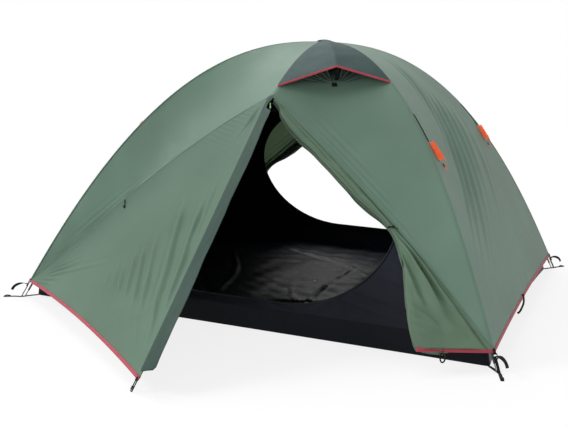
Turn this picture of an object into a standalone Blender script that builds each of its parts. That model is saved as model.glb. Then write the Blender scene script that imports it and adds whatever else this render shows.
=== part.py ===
# Two-pole dome tent with a flysheet, a vestibule at each end and an inner tent.
# Metres, +Z up. The origin is on the ground under the peak, +X is right and -Y is the front.
# The back is the front turned by 180 degrees about the vertical through the peak.

import math

import bmesh
import bpy
import numpy as np
from mathutils import Matrix, Vector

# Poles
foot_span_x = 2.20
foot_span_y = 1.93
pole_diameter = 0.0085
pole_sections = 7
ferrule_diameter = 0.0110
ferrule_length = 0.060
foot_pin_diameter = 0.0050
foot_pin_length = 0.030
pole_points = 8
section_gap = 0.0008

# Shape of the flysheet over the poles
fly_height = 1.215
spread_power = 0.857
rise_power = 2.06
hem_height = 0.070
hem_rise = 0.013
side_sag = 0.008
peak_opening = 0.010

# Front centre line: the ridge, the zip and the peg point
zip_top_reach = 0.650
zip_top_share = 0.8033
ridge_power = 1.75
peg_corner_reach = 1.726
peg_corner_height = 0.050
fixed_seam_bow = 0.095
door_seam_bow = 0.038
fixed_seam_skew = 1.5
door_seam_skew = 1.0
seam_steps = 8
seam_probe = 0.01
top_cut = 0.03

# Cloth, tape and clearances
cloth = 0.0015
gap = 0.0003
seam_gap = 0.0008
pole_clearance = 0.004
binding_height = 0.011
binding_thickness = 0.003
binding_share = 0.6
binding_lean = 0.3
hem_probe = 0.02
hem_bow = 0.022
hem_bow_power = 4

# Door, gathered along its seam and tied back
door_width_start = 0.012
door_width_top = 0.054
door_width_shoulder = 0.051
door_width_tie = 0.030
door_width_hem = 0.258
door_top_place = 0.24
door_shoulder_place = 0.42
door_tie_place = 0.575
door_hem_shift = 0.120
door_fold_depth = 0.012
door_pleat = 0.005
door_pleats = 3
door_back_share = 0.55
door_turn_share = 1 / 6
door_loose_start = 0.25
door_loose_tie = 0.35

# Hood over the door and its strut
hood_ridge_reach = 0.588
hood_pole_share = 0.8626
hood_peak_x = 0.236
hood_peak_y = -0.480
hood_peak_share = 0.9119
hood_start_share = 0.03
hood_flare = 1.5
hood_clearance = 0.0011
strut_foot_x = 0.210
strut_foot_y = -0.410
strut_width = 0.016
strut_thickness = 0.002
strut_brim_distance = 0.010

# Storm flap and zip
flap_width_start = 0.006
flap_width_top = 0.046
flap_width_bottom = 0.066
flap_seam_width = 0.014
flap_rise_width = 0.008
flap_crease_share = 0.4
flap_lift = 0.0045
flap_start = 0.012
flap_length_share = 0.985
flap_shoulder_start = 0.05
flap_shoulder_end = 0.12
zip_edge = 0.003
slider_rest = 0.045
slider_length = 0.014
slider_width = 0.014
slider_thickness = 0.008
slider_play = 0.0004
puller_length = 0.024
puller_width = 0.006
puller_thickness = 0.0014
puller_offset_share = 0.4

# Toggle and peg loops
toggle_length = 0.032
toggle_diameter = 0.008
toggle_waist = 0.6
toggle_place = 0.75
toggle_lean = 0.4
toggle_clearance = 0.0003
elastic_diameter = 0.0035
peg_loop_width = 0.014
peg_loop_reach = 0.020

# Guy loops and hanks of guyline
guy_top_share = 0.7564
guy_loop_length = 0.155
guy_loop_width = 0.0075
guy_cord_diameter = 0.0030
guy_seam_distance = 0.018
guy_follow = 0.7
hank_turns = 5
hank_length = 0.084
hank_width = 0.046
hank_waist = 0.42
hank_lobe_growth = 3.2
hank_lower_share = 0.18
hank_lead = 0.007
hank_clearance = 0.0012
hank_tail = 0.042
hank_tail_points = 6
hank_cord_diameter = 0.0025
hank_pitch = 0.0032
hank_loop_points = 14

# Corner straps and buckles
strap_width = 0.012
strap_thickness = 0.0012
peg_tab_length = 0.080
peg_tab_swing = {"front_right": -32.0, "rear_right": 12.0, "rear_left": 0.0, "front_left": -12.0}
tail_length = 0.080
tail_bend = 1.55
buckle_width = 0.022
buckle_height = 0.024
buckle_thickness = 0.003
buckle_bar = 0.004
strap_bend_length = 0.006
strap_corner = 0.0022
strap_rise = 0.004
strap_join = 0.010
tab_start = 0.012

# Inner tent
floor_end_margin = 0.050
floor_side_margin = 0.065
floor_wall_height = 0.100
floor_side_bow = 0.030
floor_side_steps = 6
inner_clearance = 0.0015
inner_front_sag = 0.020
sill_gap = 0.0010
doorway_half_width = 0.618
doorway_sill = 0.130
doorway_top = 0.900
doorway_corner_width = 0.440
doorway_corner_height = 0.360

samples = 4001
foot_radius = math.hypot(foot_span_x, foot_span_y) / 2
unit_x = foot_span_x / 2 / foot_radius
unit_y = foot_span_y / 2 / foot_radius
pole_radius = pole_diameter / 2
ferrule_radius = ferrule_diameter / 2
pole_inset = (cloth + ferrule_radius + pole_clearance) / min(unit_x, unit_y)
crown_dip = pole_diameter + 2 * gap
crown_dip_reach = 0.20
inner_inset = pole_inset + crown_dip + pole_radius + inner_clearance
side_edge = (cloth * unit_y + gap / 2) / unit_x
face_edge = (cloth * unit_x + gap / 2) / unit_y
up = np.array([0.0, 0.0, 1.0])

# The floor's corners lie just inside the pole feet
floor_length = foot_span_x - 2 * floor_end_margin
floor_width = foot_span_y - 2 * floor_side_margin

# Heights of the zip's top, the hood and the guy loops, as shares of the flysheet's height
zip_top_height = fly_height * zip_top_share
hood_pole_height = fly_height * hood_pole_share
hood_peak_height = fly_height * hood_peak_share
guy_top_height = fly_height * guy_top_share

colours = {
    "fly": ((0.135, 0.235, 0.175), 0.55, 0.0),
    "slate": ((0.095, 0.130, 0.128), 0.60, 0.0),
    "binding": ((0.500, 0.040, 0.070), 0.60, 0.0),
    "webbing": ((0.015, 0.015, 0.018), 0.75, 0.0),
    "plastic": ((0.012, 0.012, 0.014), 0.40, 0.0),
    "puller": ((0.380, 0.680, 0.340), 0.45, 0.0),
    "orange": ((0.900, 0.130, 0.030), 0.65, 0.0),
    "glass_fibre": ((0.060, 0.060, 0.065), 0.35, 0.0),
    "floor": ((0.020, 0.021, 0.025), 0.45, 0.0),
    "inner": ((0.008, 0.008, 0.010), 0.70, 0.0),
}

for old in list(bpy.data.objects):
    bpy.data.objects.remove(old, do_unlink=True)
parts = bpy.data.collections.new("camping_tent")
cutters = bpy.data.collections.new("cutters")
bpy.context.scene.collection.children.link(parts)
bpy.context.scene.collection.children.link(cutters)


def unit(vector):
    return np.asarray(vector, float) / np.linalg.norm(vector)


def material_for(name, finish):
    colour, roughness, metallic = colours[finish]
    material = bpy.data.materials.new(name)
    material.use_nodes = True
    shader = material.node_tree.nodes["Principled BSDF"]
    shader.inputs["Base Color"].default_value = (*colour, 1.0)
    shader.inputs["Roughness"].default_value = roughness
    shader.inputs["Metallic"].default_value = metallic
    return material


def add(name, data, finish, collection=parts):
    item = bpy.data.objects.new(name, data)
    collection.objects.link(item)
    if collection is parts:
        data.materials.clear()
        data.materials.append(material_for(name, finish))
    else:
        item.hide_render = True
        item.display_type = "WIRE"
    return item


def loft(name, rows, outward):
    """A mesh through rows of points, with its faces towards the outward direction."""
    rows = np.asarray(rows, float)
    count, width = rows.shape[:2]
    faces = []
    for i in range(count - 1):
        for j in range(width - 1):
            k = i * width + j
            faces.append((k, k + 1, k + width + 1, k + width))
    mesh = bpy.data.meshes.new(name)
    mesh.from_pydata([tuple(point) for point in rows.reshape(-1, 3)], [], faces)
    middle = mesh.polygons[len(faces) // 2]
    if np.dot(np.array(middle.normal), outward) < 0:
        mesh.flip_normals()
    mesh.shade_smooth()
    return mesh


def sheet(name, rows, outward, thickness, finish, offset=-1.0, collection=parts):
    item = add(name, loft(name, rows, outward), finish, collection)
    solid = item.modifiers.new("thickness", "SOLIDIFY")
    solid.thickness = thickness
    solid.offset = offset
    solid.use_even_offset = True
    return item


def tube(name, points, radius, finish, shares=None, closed=False, sides=2):
    curve = bpy.data.curves.new(name, "CURVE")
    curve.dimensions = "3D"
    curve.bevel_depth = radius
    curve.bevel_resolution = sides
    curve.use_fill_caps = not closed
    curve.twist_mode = "MINIMUM"
    line = curve.splines.new("POLY")
    line.points.add(len(points) - 1)
    for i, point in enumerate(points):
        line.points[i].co = (*point, 1.0)
        line.points[i].radius = 1.0 if shares is None else shares[i]
    line.use_cyclic_u = closed
    return add(name, curve, finish)


def boxed(name, size, frame, finish, collection=parts):
    """A block of the given size, placed by a 4 x 4 frame."""
    mesh = bpy.data.meshes.new(name)
    shape = bmesh.new()
    bmesh.ops.create_cube(shape, size=1.0)
    bmesh.ops.scale(shape, vec=Vector(size), verts=shape.verts)
    shape.to_mesh(mesh)
    shape.free()
    item = add(name, mesh, finish, collection)
    item.matrix_world = frame
    return item


def cut(item, cutter, operation="DIFFERENCE"):
    step = item.modifiers.new(operation.lower(), "BOOLEAN")
    step.operation = operation
    step.solver = "EXACT"
    step.object = cutter


def hang(item, pivot):
    """Parents a moving piece to an empty on its joint's axis."""
    axis = bpy.data.objects.new(item.name + "_axis", None)
    axis.location = Vector(pivot)
    parts.objects.link(axis)
    item.parent = axis
    item.matrix_parent_inverse = Matrix.Translation(-Vector(pivot))


def frame_at(origin, x_axis, y_axis, z_axis):
    matrix = Matrix.Identity(4)
    for column, axis in enumerate((x_axis, y_axis, z_axis)):
        for row in range(3):
            matrix[row][column] = axis[row]
    matrix.translation = Vector(origin)
    return matrix


def half_turn(point):
    """The same point at the other end of the tent."""
    return np.array([-point[0], -point[1], point[2]])


def smooth_through(place, stops):
    """A smooth rise and fall through (place, value) stops."""
    places = [stop[0] for stop in stops]
    values = [stop[1] for stop in stops]
    i = min(max(int(np.searchsorted(places, place)) - 1, 0), len(stops) - 2)
    share = min(max((place - places[i]) / (places[i + 1] - places[i]), 0.0), 1.0)
    return values[i] + (values[i + 1] - values[i]) * share * share * (3 - 2 * share)


# Vault line: the outside of the flysheet over a pole, from the peak to the ground
turn = np.linspace(0.0, math.pi / 2, samples)
vault_r = foot_radius * np.sin(turn) ** spread_power
vault_z = fly_height * np.cos(turn) ** rise_power
vault_arc = np.concatenate([[0.0], np.cumsum(np.hypot(np.diff(vault_r), np.diff(vault_z)))])
step_r = np.gradient(vault_r)
step_z = np.gradient(vault_z)
step_length = np.hypot(step_r, step_z)
normal_r = -step_z / step_length
normal_z = step_r / step_length


def vault_at(arc):
    """Radius, height and outward normal of the vault line at an arc length from the peak."""
    return tuple(float(np.interp(arc, vault_arc, row)) for row in (vault_r, vault_z, normal_r, normal_z))


def arc_at_height(height):
    return float(np.interp(-height, -vault_z, vault_arc))


def side_point(arc, y, lift=0.0):
    """A point on the right side panel's outer surface, lifted along its normal."""
    r, z, n_r, n_z = vault_at(arc)
    normal = unit((n_r / unit_x, 0.0, n_z))
    return np.array([unit_x * r, y, z]) + lift * normal, normal


def hem_arc(y_share):
    """Arc length at which the side panel ends, above its binding."""
    rise = hem_rise * (1 - y_share * y_share)
    return arc_at_height(hem_height + rise) - binding_height - gap


corner_arc = hem_arc(1.0)
corner_r, corner_z, _, _ = vault_at(corner_arc)
front_left = np.array([-unit_x * corner_r, -unit_y * corner_r, corner_z])
front_right = np.array([unit_x * corner_r, -unit_y * corner_r, corner_z])
zip_top = np.array([0.0, -zip_top_reach, zip_top_height])
peg_corner = np.array([0.0, -peg_corner_reach, peg_corner_height])
zip_run = np.linalg.norm(peg_corner - zip_top)
zip_down = (peg_corner - zip_top) / zip_run


def ridge(share):
    """The front centre line from the peak to the top of the zip."""
    drop = (fly_height - zip_top_height) * share ** ridge_power
    return np.array([0.0, -zip_top_reach * share, fly_height - drop])


def pole_line(arc, sign_x=1, sign_y=-1, lift=0.0):
    r, z, n_r, n_z = vault_at(arc)
    r += lift * n_r
    return np.array([sign_x * unit_x * r, sign_y * unit_y * r, z + lift * n_z])


def seam_curve(share, corner):
    """The line from the top of the zip to a corner, bowed towards the pole."""
    bow, skew = (door_seam_bow, door_seam_skew) if corner[0] > 0 else (fixed_seam_bow, fixed_seam_skew)
    chord = corner - zip_top
    along = unit(chord)
    away = (peg_corner - zip_top) - np.dot(peg_corner - zip_top, along) * along
    widest = 1 / (1 + skew)
    rise = share * (1 - share) ** skew / (widest * (1 - widest) ** skew)
    return zip_top + chord * share - unit(away) * bow * rise


def seam(share, corner):
    """The seam in straight steps, so that the cloth on both sides of it meets."""
    step = min(int(share * seam_steps), seam_steps - 1)
    start = seam_curve(step / seam_steps, corner)
    end = seam_curve((step + 1) / seam_steps, corner)
    return start + (end - start) * (share * seam_steps - step)


def inset(point, towards, tangent, distance):
    """Moves a point on an edge into the cloth until it is that far from the edge."""
    direction = unit(towards - point)
    tangent = unit(tangent)
    across = direction - np.dot(direction, tangent) * tangent
    return point + direction * distance / np.linalg.norm(across)


# Poles
def pole_path(dip):
    """One pole's centre line through the peak, as signed radius and height."""
    drop = pole_inset + dip * np.exp(-((vault_r / crown_dip_reach) ** 2))
    r = vault_r - normal_r * drop
    z = vault_z - normal_z * drop
    rest = strap_thickness + gap + foot_pin_diameter / 2 * normal_z[-2]
    keep = (z > rest) & (r > 0)
    r = np.concatenate([[0.0], r[keep]])
    z = np.concatenate([[z[0]], z[keep]])
    return np.concatenate([-r[:0:-1], r]), np.concatenate([z[:0:-1], z])


def make_pole(label, dip, sign_y):
    r, z = pole_path(dip)
    arc = np.concatenate([[0.0], np.cumsum(np.hypot(np.diff(r), np.diff(z)))])
    section = arc[-1] / pole_sections
    for number in range(pole_sections):
        start = number * section + (section_gap / 2 if number else 0.0)
        end = (number + 1) * section - (section_gap / 2 if number < pole_sections - 1 else 0.0)
        first_plain = start + (foot_pin_length if number == 0 else 0.0)
        if number < pole_sections - 1:
            last_plain = end - ferrule_length
            end_share = ferrule_diameter / pole_diameter
        else:
            last_plain = end - foot_pin_length
            end_share = foot_pin_diameter / pole_diameter
        places = list(np.linspace(first_plain, last_plain, pole_points - 2))
        shares = [1.0] * len(places)
        if number == 0:
            places = [start, first_plain - gap] + places
            shares = [foot_pin_diameter / pole_diameter] * 2 + shares
        places += [last_plain + gap, end]
        shares += [end_share] * 2
        points = []
        for place in places:
            radius = float(np.interp(place, arc, r))
            height = float(np.interp(place, arc, z))
            points.append((unit_x * radius, sign_y * unit_y * radius, height))
        tube(f"pole_{label}_section_{number + 1}", points, pole_radius, "glass_fibre", shares)


make_pole("upper", 0.0, -1)
make_pole("lower", crown_dip, 1)


def sag_at(share, along):
    """How far a side panel sags inward, by the shares across it and down it."""
    return side_sag * (1 - share * share) * math.sin(math.pi * along)


# Side panels: a sheet curved one way only, from the peak to the hem
def side_rows(count=16, width=9):
    rows = []
    for i in range(count):
        row = []
        for j in range(width):
            share = 2 * j / (width - 1) - 1
            end = hem_arc(share)
            arc = peak_opening + (end - peak_opening) * i / (count - 1)
            r = vault_at(arc)[0]
            half = unit_y * r - side_edge
            row.append(side_point(arc, share * half, -sag_at(share, i / (count - 1)))[0])
        rows.append(row)
    return rows


def turned_copy(source, name, finish):
    """The same piece for the other end: the mesh turned by 180 degrees about Z."""
    data = source.data.copy()
    item = add(name, data, finish)
    item.matrix_world = Matrix.Rotation(math.pi, 4, "Z") @ source.matrix_world
    for step in source.modifiers:
        twin = item.modifiers.new(step.name, step.type)
        if step.type == "SOLIDIFY":
            twin.thickness = step.thickness
            twin.offset = step.offset
            twin.use_even_offset = step.use_even_offset
        else:
            other = add(name + "_cutter", step.object.data, finish, cutters)
            other.matrix_world = Matrix.Rotation(math.pi, 4, "Z") @ step.object.matrix_world
            for inner in step.object.modifiers:
                copy = other.modifiers.new(inner.name, inner.type)
                copy.thickness = inner.thickness
                copy.offset = inner.offset
                copy.use_even_offset = inner.use_even_offset
            twin.operation = step.operation
            twin.solver = step.solver
            twin.object = other
    return item


side_right = sheet("fly_side_panel_right", side_rows(), (1.0, 0.0, 0.4), cloth, "fly")
turned_copy(side_right, "fly_side_panel_left", "fly")


# Face panels: from both poles to the ridge, down to the two seams
def face_rows(count=12, half=seam_steps):
    rows = []
    first = peak_opening / vault_arc[-1]
    for i in range(count):
        share = first + (1 - first) * i / (count - 1)
        row = []
        for j in range(-half, half + 1):
            side = 1 if j > 0 else -1
            blend = abs(j) / half
            corner = front_right if side > 0 else front_left
            on_pole = pole_line(corner_arc * share, side) - np.array([side * face_edge, 0.0, 0.0])
            point = blend * on_pole + (1 - blend) * ridge(share)
            end = blend * corner + (1 - blend) * zip_top
            point = point + share ** 3 * (seam(blend, corner) - end)
            if i == count - 1:
                tangent = seam(blend, corner) - seam(blend - 0.5 / half, corner) if j else corner - zip_top
                point = inset(point, rows[-1][j + half], tangent, seam_gap)
            row.append(point)
        rows.append(row)
    return rows


face_front = sheet("fly_face_front", face_rows(), (0.0, -0.6, 0.8), cloth, "fly")
turned_copy(face_front, "fly_face_rear", "fly")


# Vestibule: the fixed panel on the left of the zip
panel_normal = unit(np.cross(peg_corner - zip_top, front_left - zip_top))
if panel_normal[2] < 0:
    panel_normal = -panel_normal
panel_side = unit(np.cross(zip_down, panel_normal))
if np.dot(panel_side, front_left - zip_top) < 0:
    panel_side = -panel_side
hem_along = unit(peg_corner - front_left)
hem_down = unit(np.cross(panel_normal, hem_along))
if hem_down[2] > 0:
    hem_down = -hem_down


def hem_lift(place):
    """How far the vestibule's hem bows up between its two corners."""
    return -hem_down * hem_bow * 4 * place * (1 - place)


def vestibule_rows(width=7):
    rows = []
    for i in range(seam_steps + 1):
        share = max(i / seam_steps, top_cut)
        on_seam = seam(share, front_left)
        on_zip = zip_top + zip_down * zip_run * share + panel_side * zip_edge
        tangent = on_seam - seam(share - seam_probe, front_left)
        on_seam = inset(on_seam, on_zip, tangent, seam_gap)
        places = [j / (width - 1) for j in range(width)]
        bow = share ** hem_bow_power
        rows.append([on_seam + (on_zip - on_seam) * place + hem_lift(place) * bow for place in places])
    return rows


vestibule = sheet("fly_vestibule_panel_front", vestibule_rows(), panel_normal, cloth, "fly")
turned_copy(vestibule, "fly_vestibule_panel_rear", "fly")

# Door: hung from the right seam, gathered, tied back at the toggle
door_chord = front_right - zip_top
door_along = unit(door_chord)
door_across = (peg_corner - zip_top) - np.dot(peg_corner - zip_top, door_along) * door_along
door_across = unit(door_across)
door_normal = unit(np.cross(door_along, door_across))
if door_normal[2] < 0:
    door_normal = -door_normal


def door_width(share):
    stops = [(0.0, door_width_start), (door_top_place, door_width_top),
             (door_shoulder_place, door_width_shoulder), (door_tie_place, door_width_tie),
             (1.0, door_width_hem)]
    return smooth_through(share, stops)


def door_edge(share):
    """The folded free edge of the door beside its seam."""
    start = seam(share, front_right)
    slide = -door_hem_shift * share ** 3
    return start + door_chord * slide + door_across * door_width(share)


def door_looseness(share):
    stops = [(0.0, door_loose_start), (door_top_place, 1.0), (door_tie_place, door_loose_tie), (1.0, 1.0)]
    return smooth_through(share, stops)


def door_point(share, place):
    """place runs from 0 at the seam to 1 at the folded edge and back to 1 + door_back_share."""
    start = seam(share, front_right)
    edge = door_edge(share)
    start = inset(start, edge, start - seam(share - seam_probe, front_right), seam_gap)
    loose = door_looseness(share)
    out = min(place, 2 - place)
    point = start + (edge - start) * out
    wave = door_pleat * loose * math.sin(2 * math.pi * door_pleats * out) * out
    if place <= 1:
        depth = wave
    else:
        turned_share = min((place - 1) / door_turn_share, 1.0)
        depth = wave - door_fold_depth * loose * math.sin(math.pi / 2 * turned_share)
    return point + door_normal * depth


def door_rows(count=2 * seam_steps + 1):
    front = [j / 9 for j in range(10)]
    back = [1 + door_back_share * j / 5 for j in range(1, 6)]
    rows = []
    for i in range(count):
        share = max(i / (count - 1), top_cut)
        rows.append([door_point(share, place) for place in front + back])
    return rows


door = sheet("fly_door_front", door_rows(), door_normal, cloth, "fly")
turned_copy(door, "fly_door_rear", "fly")


# Hem bindings: one tape from the rear door's hem round the left side to the front peg corner
def binding_columns():
    tops = []
    downs = []
    door_low = unit(binding_lean * half_turn(door_normal) - up)
    corner_down = unit(pole_line(corner_arc + hem_probe, -1, -1) - front_left)
    rear_down = unit(pole_line(corner_arc + hem_probe, -1, 1) - half_turn(front_right))
    for j in range(6):
        share = j / 6
        tops.append(half_turn(door_edge(1.0)) * (1 - share) + half_turn(front_right) * share)
        downs.append(unit(door_low * (1 - share) + rear_down * share))
    for j in range(13):
        share = 1 - 2 * j / 12
        arc = hem_arc(share)
        half = unit_y * vault_at(arc)[0] - (side_edge if abs(share) < 1 else 0.0)
        tops.append(half_turn(side_point(arc, -share * half)[0]))
        lower = half_turn(side_point(arc + hem_probe, -share * half)[0])
        downs.append(unit(lower - tops[-1]))
    downs[6] = rear_down
    downs[-1] = corner_down
    for j in range(1, 9):
        share = j / 8
        straight = front_left + (peg_corner + panel_side * zip_edge - front_left) * share
        tops.append(straight + hem_lift(share))
        downs.append(unit(corner_down * (1 - share) + hem_down * share))
    return tops, downs


tape_tops, tape_downs = binding_columns()
tape_gap = gap + cloth * binding_share
tape_rows = [[top + down * tape_gap for top, down in zip(tape_tops, tape_downs)],
             [top + down * (tape_gap + binding_height) for top, down in zip(tape_tops, tape_downs)]]
tape = sheet("fly_hem_binding_left", tape_rows, (-1.0, 0.0, 0.3), binding_thickness, "binding", offset=-0.5)
turned_copy(tape, "fly_hem_binding_right", "binding")


# Hoods: over the door half of each face, propped up at the brim
hood_arc = arc_at_height(hood_pole_height)
hood_left = ridge(hood_ridge_reach / zip_top_reach)
hood_right = pole_line(hood_arc)
hood_peak = np.array([hood_peak_x, hood_peak_y, hood_peak_height])
hood_middle = float(np.dot(hood_peak - hood_left, hood_right - hood_left)
                    / np.dot(hood_right - hood_left, hood_right - hood_left))


def brim(share):
    if share < hood_middle:
        return hood_left + (hood_peak - hood_left) * share / hood_middle
    return hood_right + (hood_peak - hood_right) * (1 - share) / (1 - hood_middle)


def hood_rows(count=9, width=11):
    rows = []
    for i in range(count):
        along = hood_start_share + (1 - hood_start_share) * i / (count - 1)
        on_ridge = ridge(along * hood_ridge_reach / zip_top_reach)
        on_pole = pole_line(hood_arc * along) - np.array([2 * face_edge, 0.0, 0.0])
        row = []
        for j in range(width):
            share = j / (width - 1)
            flat = hood_left + (hood_right - hood_left) * share
            base = on_ridge + (on_pole - on_ridge) * share
            lifted = base + along ** hood_flare * (brim(share) - flat)
            row.append(lifted + up * (cloth + hood_clearance))
        rows.append(row)
    return rows


hood = sheet("fly_hood_front", hood_rows(), (0.2, -0.4, 0.9), cloth, "slate")
turned_copy(hood, "fly_hood_rear", "slate")


# Storm flap: sewn on the fixed panel, covering the zip
def flap_width(share):
    """Narrow beside the slider, then widening down to the hem."""
    stops = [(0.0, flap_width_start), (flap_shoulder_start, flap_width_start),
             (flap_shoulder_end, flap_width_top), (1.0, flap_width_bottom)]
    return smooth_through(share, stops)


def flap_rows(count=8):
    rows = []
    shares = [0.0, flap_shoulder_start, (flap_shoulder_start + flap_shoulder_end) / 2]
    shares += [flap_shoulder_end + (1 - flap_shoulder_end) * i / (count - 1) for i in range(count)]
    for share in shares:
        width = flap_width(share)
        origin = zip_top + zip_down * (flap_start + (zip_run * flap_length_share - flap_start) * share)
        low = gap + cloth
        high = flap_lift + cloth
        seam_edge = zip_edge + flap_seam_width
        profile = [(seam_edge, low), (seam_edge - flap_rise_width, high),
                   (-flap_crease_share * width, high), (-width, high)]
        rows.append([origin + panel_side * place + panel_normal * lift for place, lift in profile])
    return rows


flap_pivot = zip_top + zip_down * flap_start + panel_side * (zip_edge + flap_seam_width)
flap_pivot = flap_pivot + panel_normal * (gap + cloth)
flap = sheet("fly_storm_flap_front", flap_rows(), panel_normal, cloth, "slate")
flap_twin = turned_copy(flap, "fly_storm_flap_rear", "slate")
hang(flap, flap_pivot)
hang(flap_twin, half_turn(flap_pivot))

# Zip slider on the edge of the fixed panel, and its puller hanging below
slider_centre = zip_top + zip_down * slider_rest - panel_normal * cloth / 2
slider_frame = frame_at(slider_centre, zip_down, panel_side, panel_normal)
slider_size = (slider_length, slider_width, slider_thickness)
slider_body = boxed("zip_slider_front", slider_size, slider_frame, "plastic")
groove_width = slider_width / 2 - zip_edge + slider_play
groove_centre = slider_centre + panel_side * (zip_edge - slider_play + groove_width)
groove = boxed("zip_groove", (slider_length * 2, groove_width * 2, cloth + 2 * slider_play),
               frame_at(groove_centre, zip_down, panel_side, panel_normal), "plastic", cutters)
cut(slider_body, groove)
turned_copy(slider_body, "zip_slider_rear", "plastic")

puller_drop = slider_thickness / 2 + gap + puller_thickness / 2 + puller_width / 2 * abs(panel_normal[0])
puller_pivot = slider_centre - panel_normal * puller_drop - panel_side * slider_width * puller_offset_share
puller_frame = Matrix.Translation(Vector(puller_pivot - up * puller_length / 2))
puller = boxed("zip_puller_front", (puller_width, puller_thickness, puller_length), puller_frame, "puller")
puller_twin = turned_copy(puller, "zip_puller_rear", "puller")
hang(puller, puller_pivot)
hang(puller_twin, half_turn(puller_pivot))


# Hood strut: a stiff strip from the face panel to the brim
def meets(item, start, direction):
    """Where a ray first meets a piece, with the piece's normal there."""
    shown = item.evaluated_get(bpy.context.evaluated_depsgraph_get())
    _, place, normal, _ = shown.ray_cast(Vector(start), Vector(direction))
    return np.array(place), np.array(normal)


def end_clearance(normal):
    """How far the strip's square end stays from a sheet, along the strip, so that it can turn."""
    sideways = strut_width / 2 * abs(np.dot(strut_across, normal))
    return (gap + sideways + strut_thickness / 2) / abs(np.dot(strut_along, normal))


strut_foot, foot_normal = meets(face_front, (strut_foot_x, strut_foot_y, fly_height), -up)
brim_point = hood_peak + np.array([0.0, strut_brim_distance, 0.0])
strut_along = unit(brim_point - strut_foot)
strut_across = unit(np.cross(strut_along, up))
strut_facing = np.cross(strut_across, strut_along)
strut_top, top_normal = meets(hood, strut_foot + gap * up, strut_along)
strut_start = strut_foot + strut_along * end_clearance(foot_normal)
strut_end = strut_top - strut_along * end_clearance(top_normal)
strut_span = float(np.linalg.norm(strut_end - strut_start))
strut = boxed("hood_strut_front", (strut_width, strut_thickness, strut_span),
              frame_at((strut_start + strut_end) / 2, strut_across, strut_facing, strut_along), "webbing")
strut_twin = turned_copy(strut, "hood_strut_rear", "webbing")
hang(strut, strut_start)
hang(strut_twin, half_turn(strut_start))

# Toggle that holds the door's gather: a bar with a waist for its loop and rounded ends
toggle_height = toggle_diameter / 2 + toggle_clearance
tie_point = door_point(door_tie_place, toggle_place) + door_normal * toggle_height
toggle_along = unit(door_across - toggle_lean * door_along)
toggle_stations = [(-0.5, 0.7), (-0.42, 1.0), (-0.12, 1.0), (0.0, toggle_waist), (0.12, 1.0), (0.42, 1.0),
                   (0.5, 0.7)]
toggle_line = [(place * toggle_length, 0.0, 0.0) for place, _ in toggle_stations]
toggle = tube("door_toggle_front", toggle_line, toggle_diameter / 2, "plastic",
              [share for _, share in toggle_stations])
toggle.matrix_world = frame_at(tie_point, toggle_along, np.cross(door_normal, toggle_along), door_normal)
turned_copy(toggle, "door_toggle_rear", "plastic")

# Elastic peg loop under the peg corner
elastic_radius = elastic_diameter / 2
hem_out = unit((hem_along[1], -hem_along[0], 0.0))
tape_end = tape_tops[-1] + tape_downs[-1] * (tape_gap + binding_height + gap + elastic_radius)
loop_top = tape_end - hem_along * peg_loop_width / 2
loop_foot = loop_top + hem_out * peg_loop_reach
loop_foot[2] = elastic_radius
loop_down = unit(loop_foot - loop_top)
loop_half = peg_loop_width / 2 - elastic_radius
loop_points = []
for k in range(10):
    angle = math.pi * (k if k < 5 else k - 1) / 4
    centre = loop_top + loop_down * loop_half if k < 5 else loop_foot - loop_down * loop_half
    across = hem_along * math.cos(angle) - loop_down * math.sin(angle)
    loop_points.append(centre + loop_half * across)
peg_loop = tube("peg_loop_front", loop_points, elastic_radius, "webbing", closed=True)
peg_loop_twin = turned_copy(peg_loop, "peg_loop_rear", "webbing")
hang(peg_loop, loop_top)
hang(peg_loop_twin, half_turn(loop_top))

# Guy loops and hanks, on the side panels just beside the pole lines
guy_arc = arc_at_height(guy_top_height)
cord_radius = guy_cord_diameter / 2
hank_radius = hank_cord_diameter / 2


def guy_centre(arc, lift, across=0.0):
    """A point on the loop's line: beside the pole line at the top, then falling away from it."""
    half = unit_y * vault_at(arc)[0] - side_edge
    top = unit_y * vault_at(guy_arc)[0] - side_edge
    y = guy_seam_distance - top - guy_follow * (half - top)
    share = y / half
    along = (arc - peak_opening) / (hem_arc(share) - peak_opening)
    return side_point(arc, y + across, lift - sag_at(share, along))


def guy_loop_points():
    half = guy_loop_width / 2 - cord_radius
    points = []
    for k in range(4):
        angle = math.pi * k / 3
        arc = guy_arc + half * (1 - math.sin(angle))
        points.append(guy_centre(arc, cord_radius + gap, half * math.cos(angle))[0])
    places = [guy_arc + guy_loop_length * k / 4 for k in (1, 2, 3)]
    points += [guy_centre(arc, cord_radius + gap, -half)[0] for arc in places]
    for k in range(4):
        angle = math.pi + math.pi * k / 3
        arc = guy_arc + guy_loop_length - half * (1 + math.sin(angle))
        points.append(guy_centre(arc, cord_radius + gap, half * math.cos(angle))[0])
    points += [guy_centre(arc, cord_radius + gap, half)[0] for arc in reversed(places)]
    return points


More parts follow.
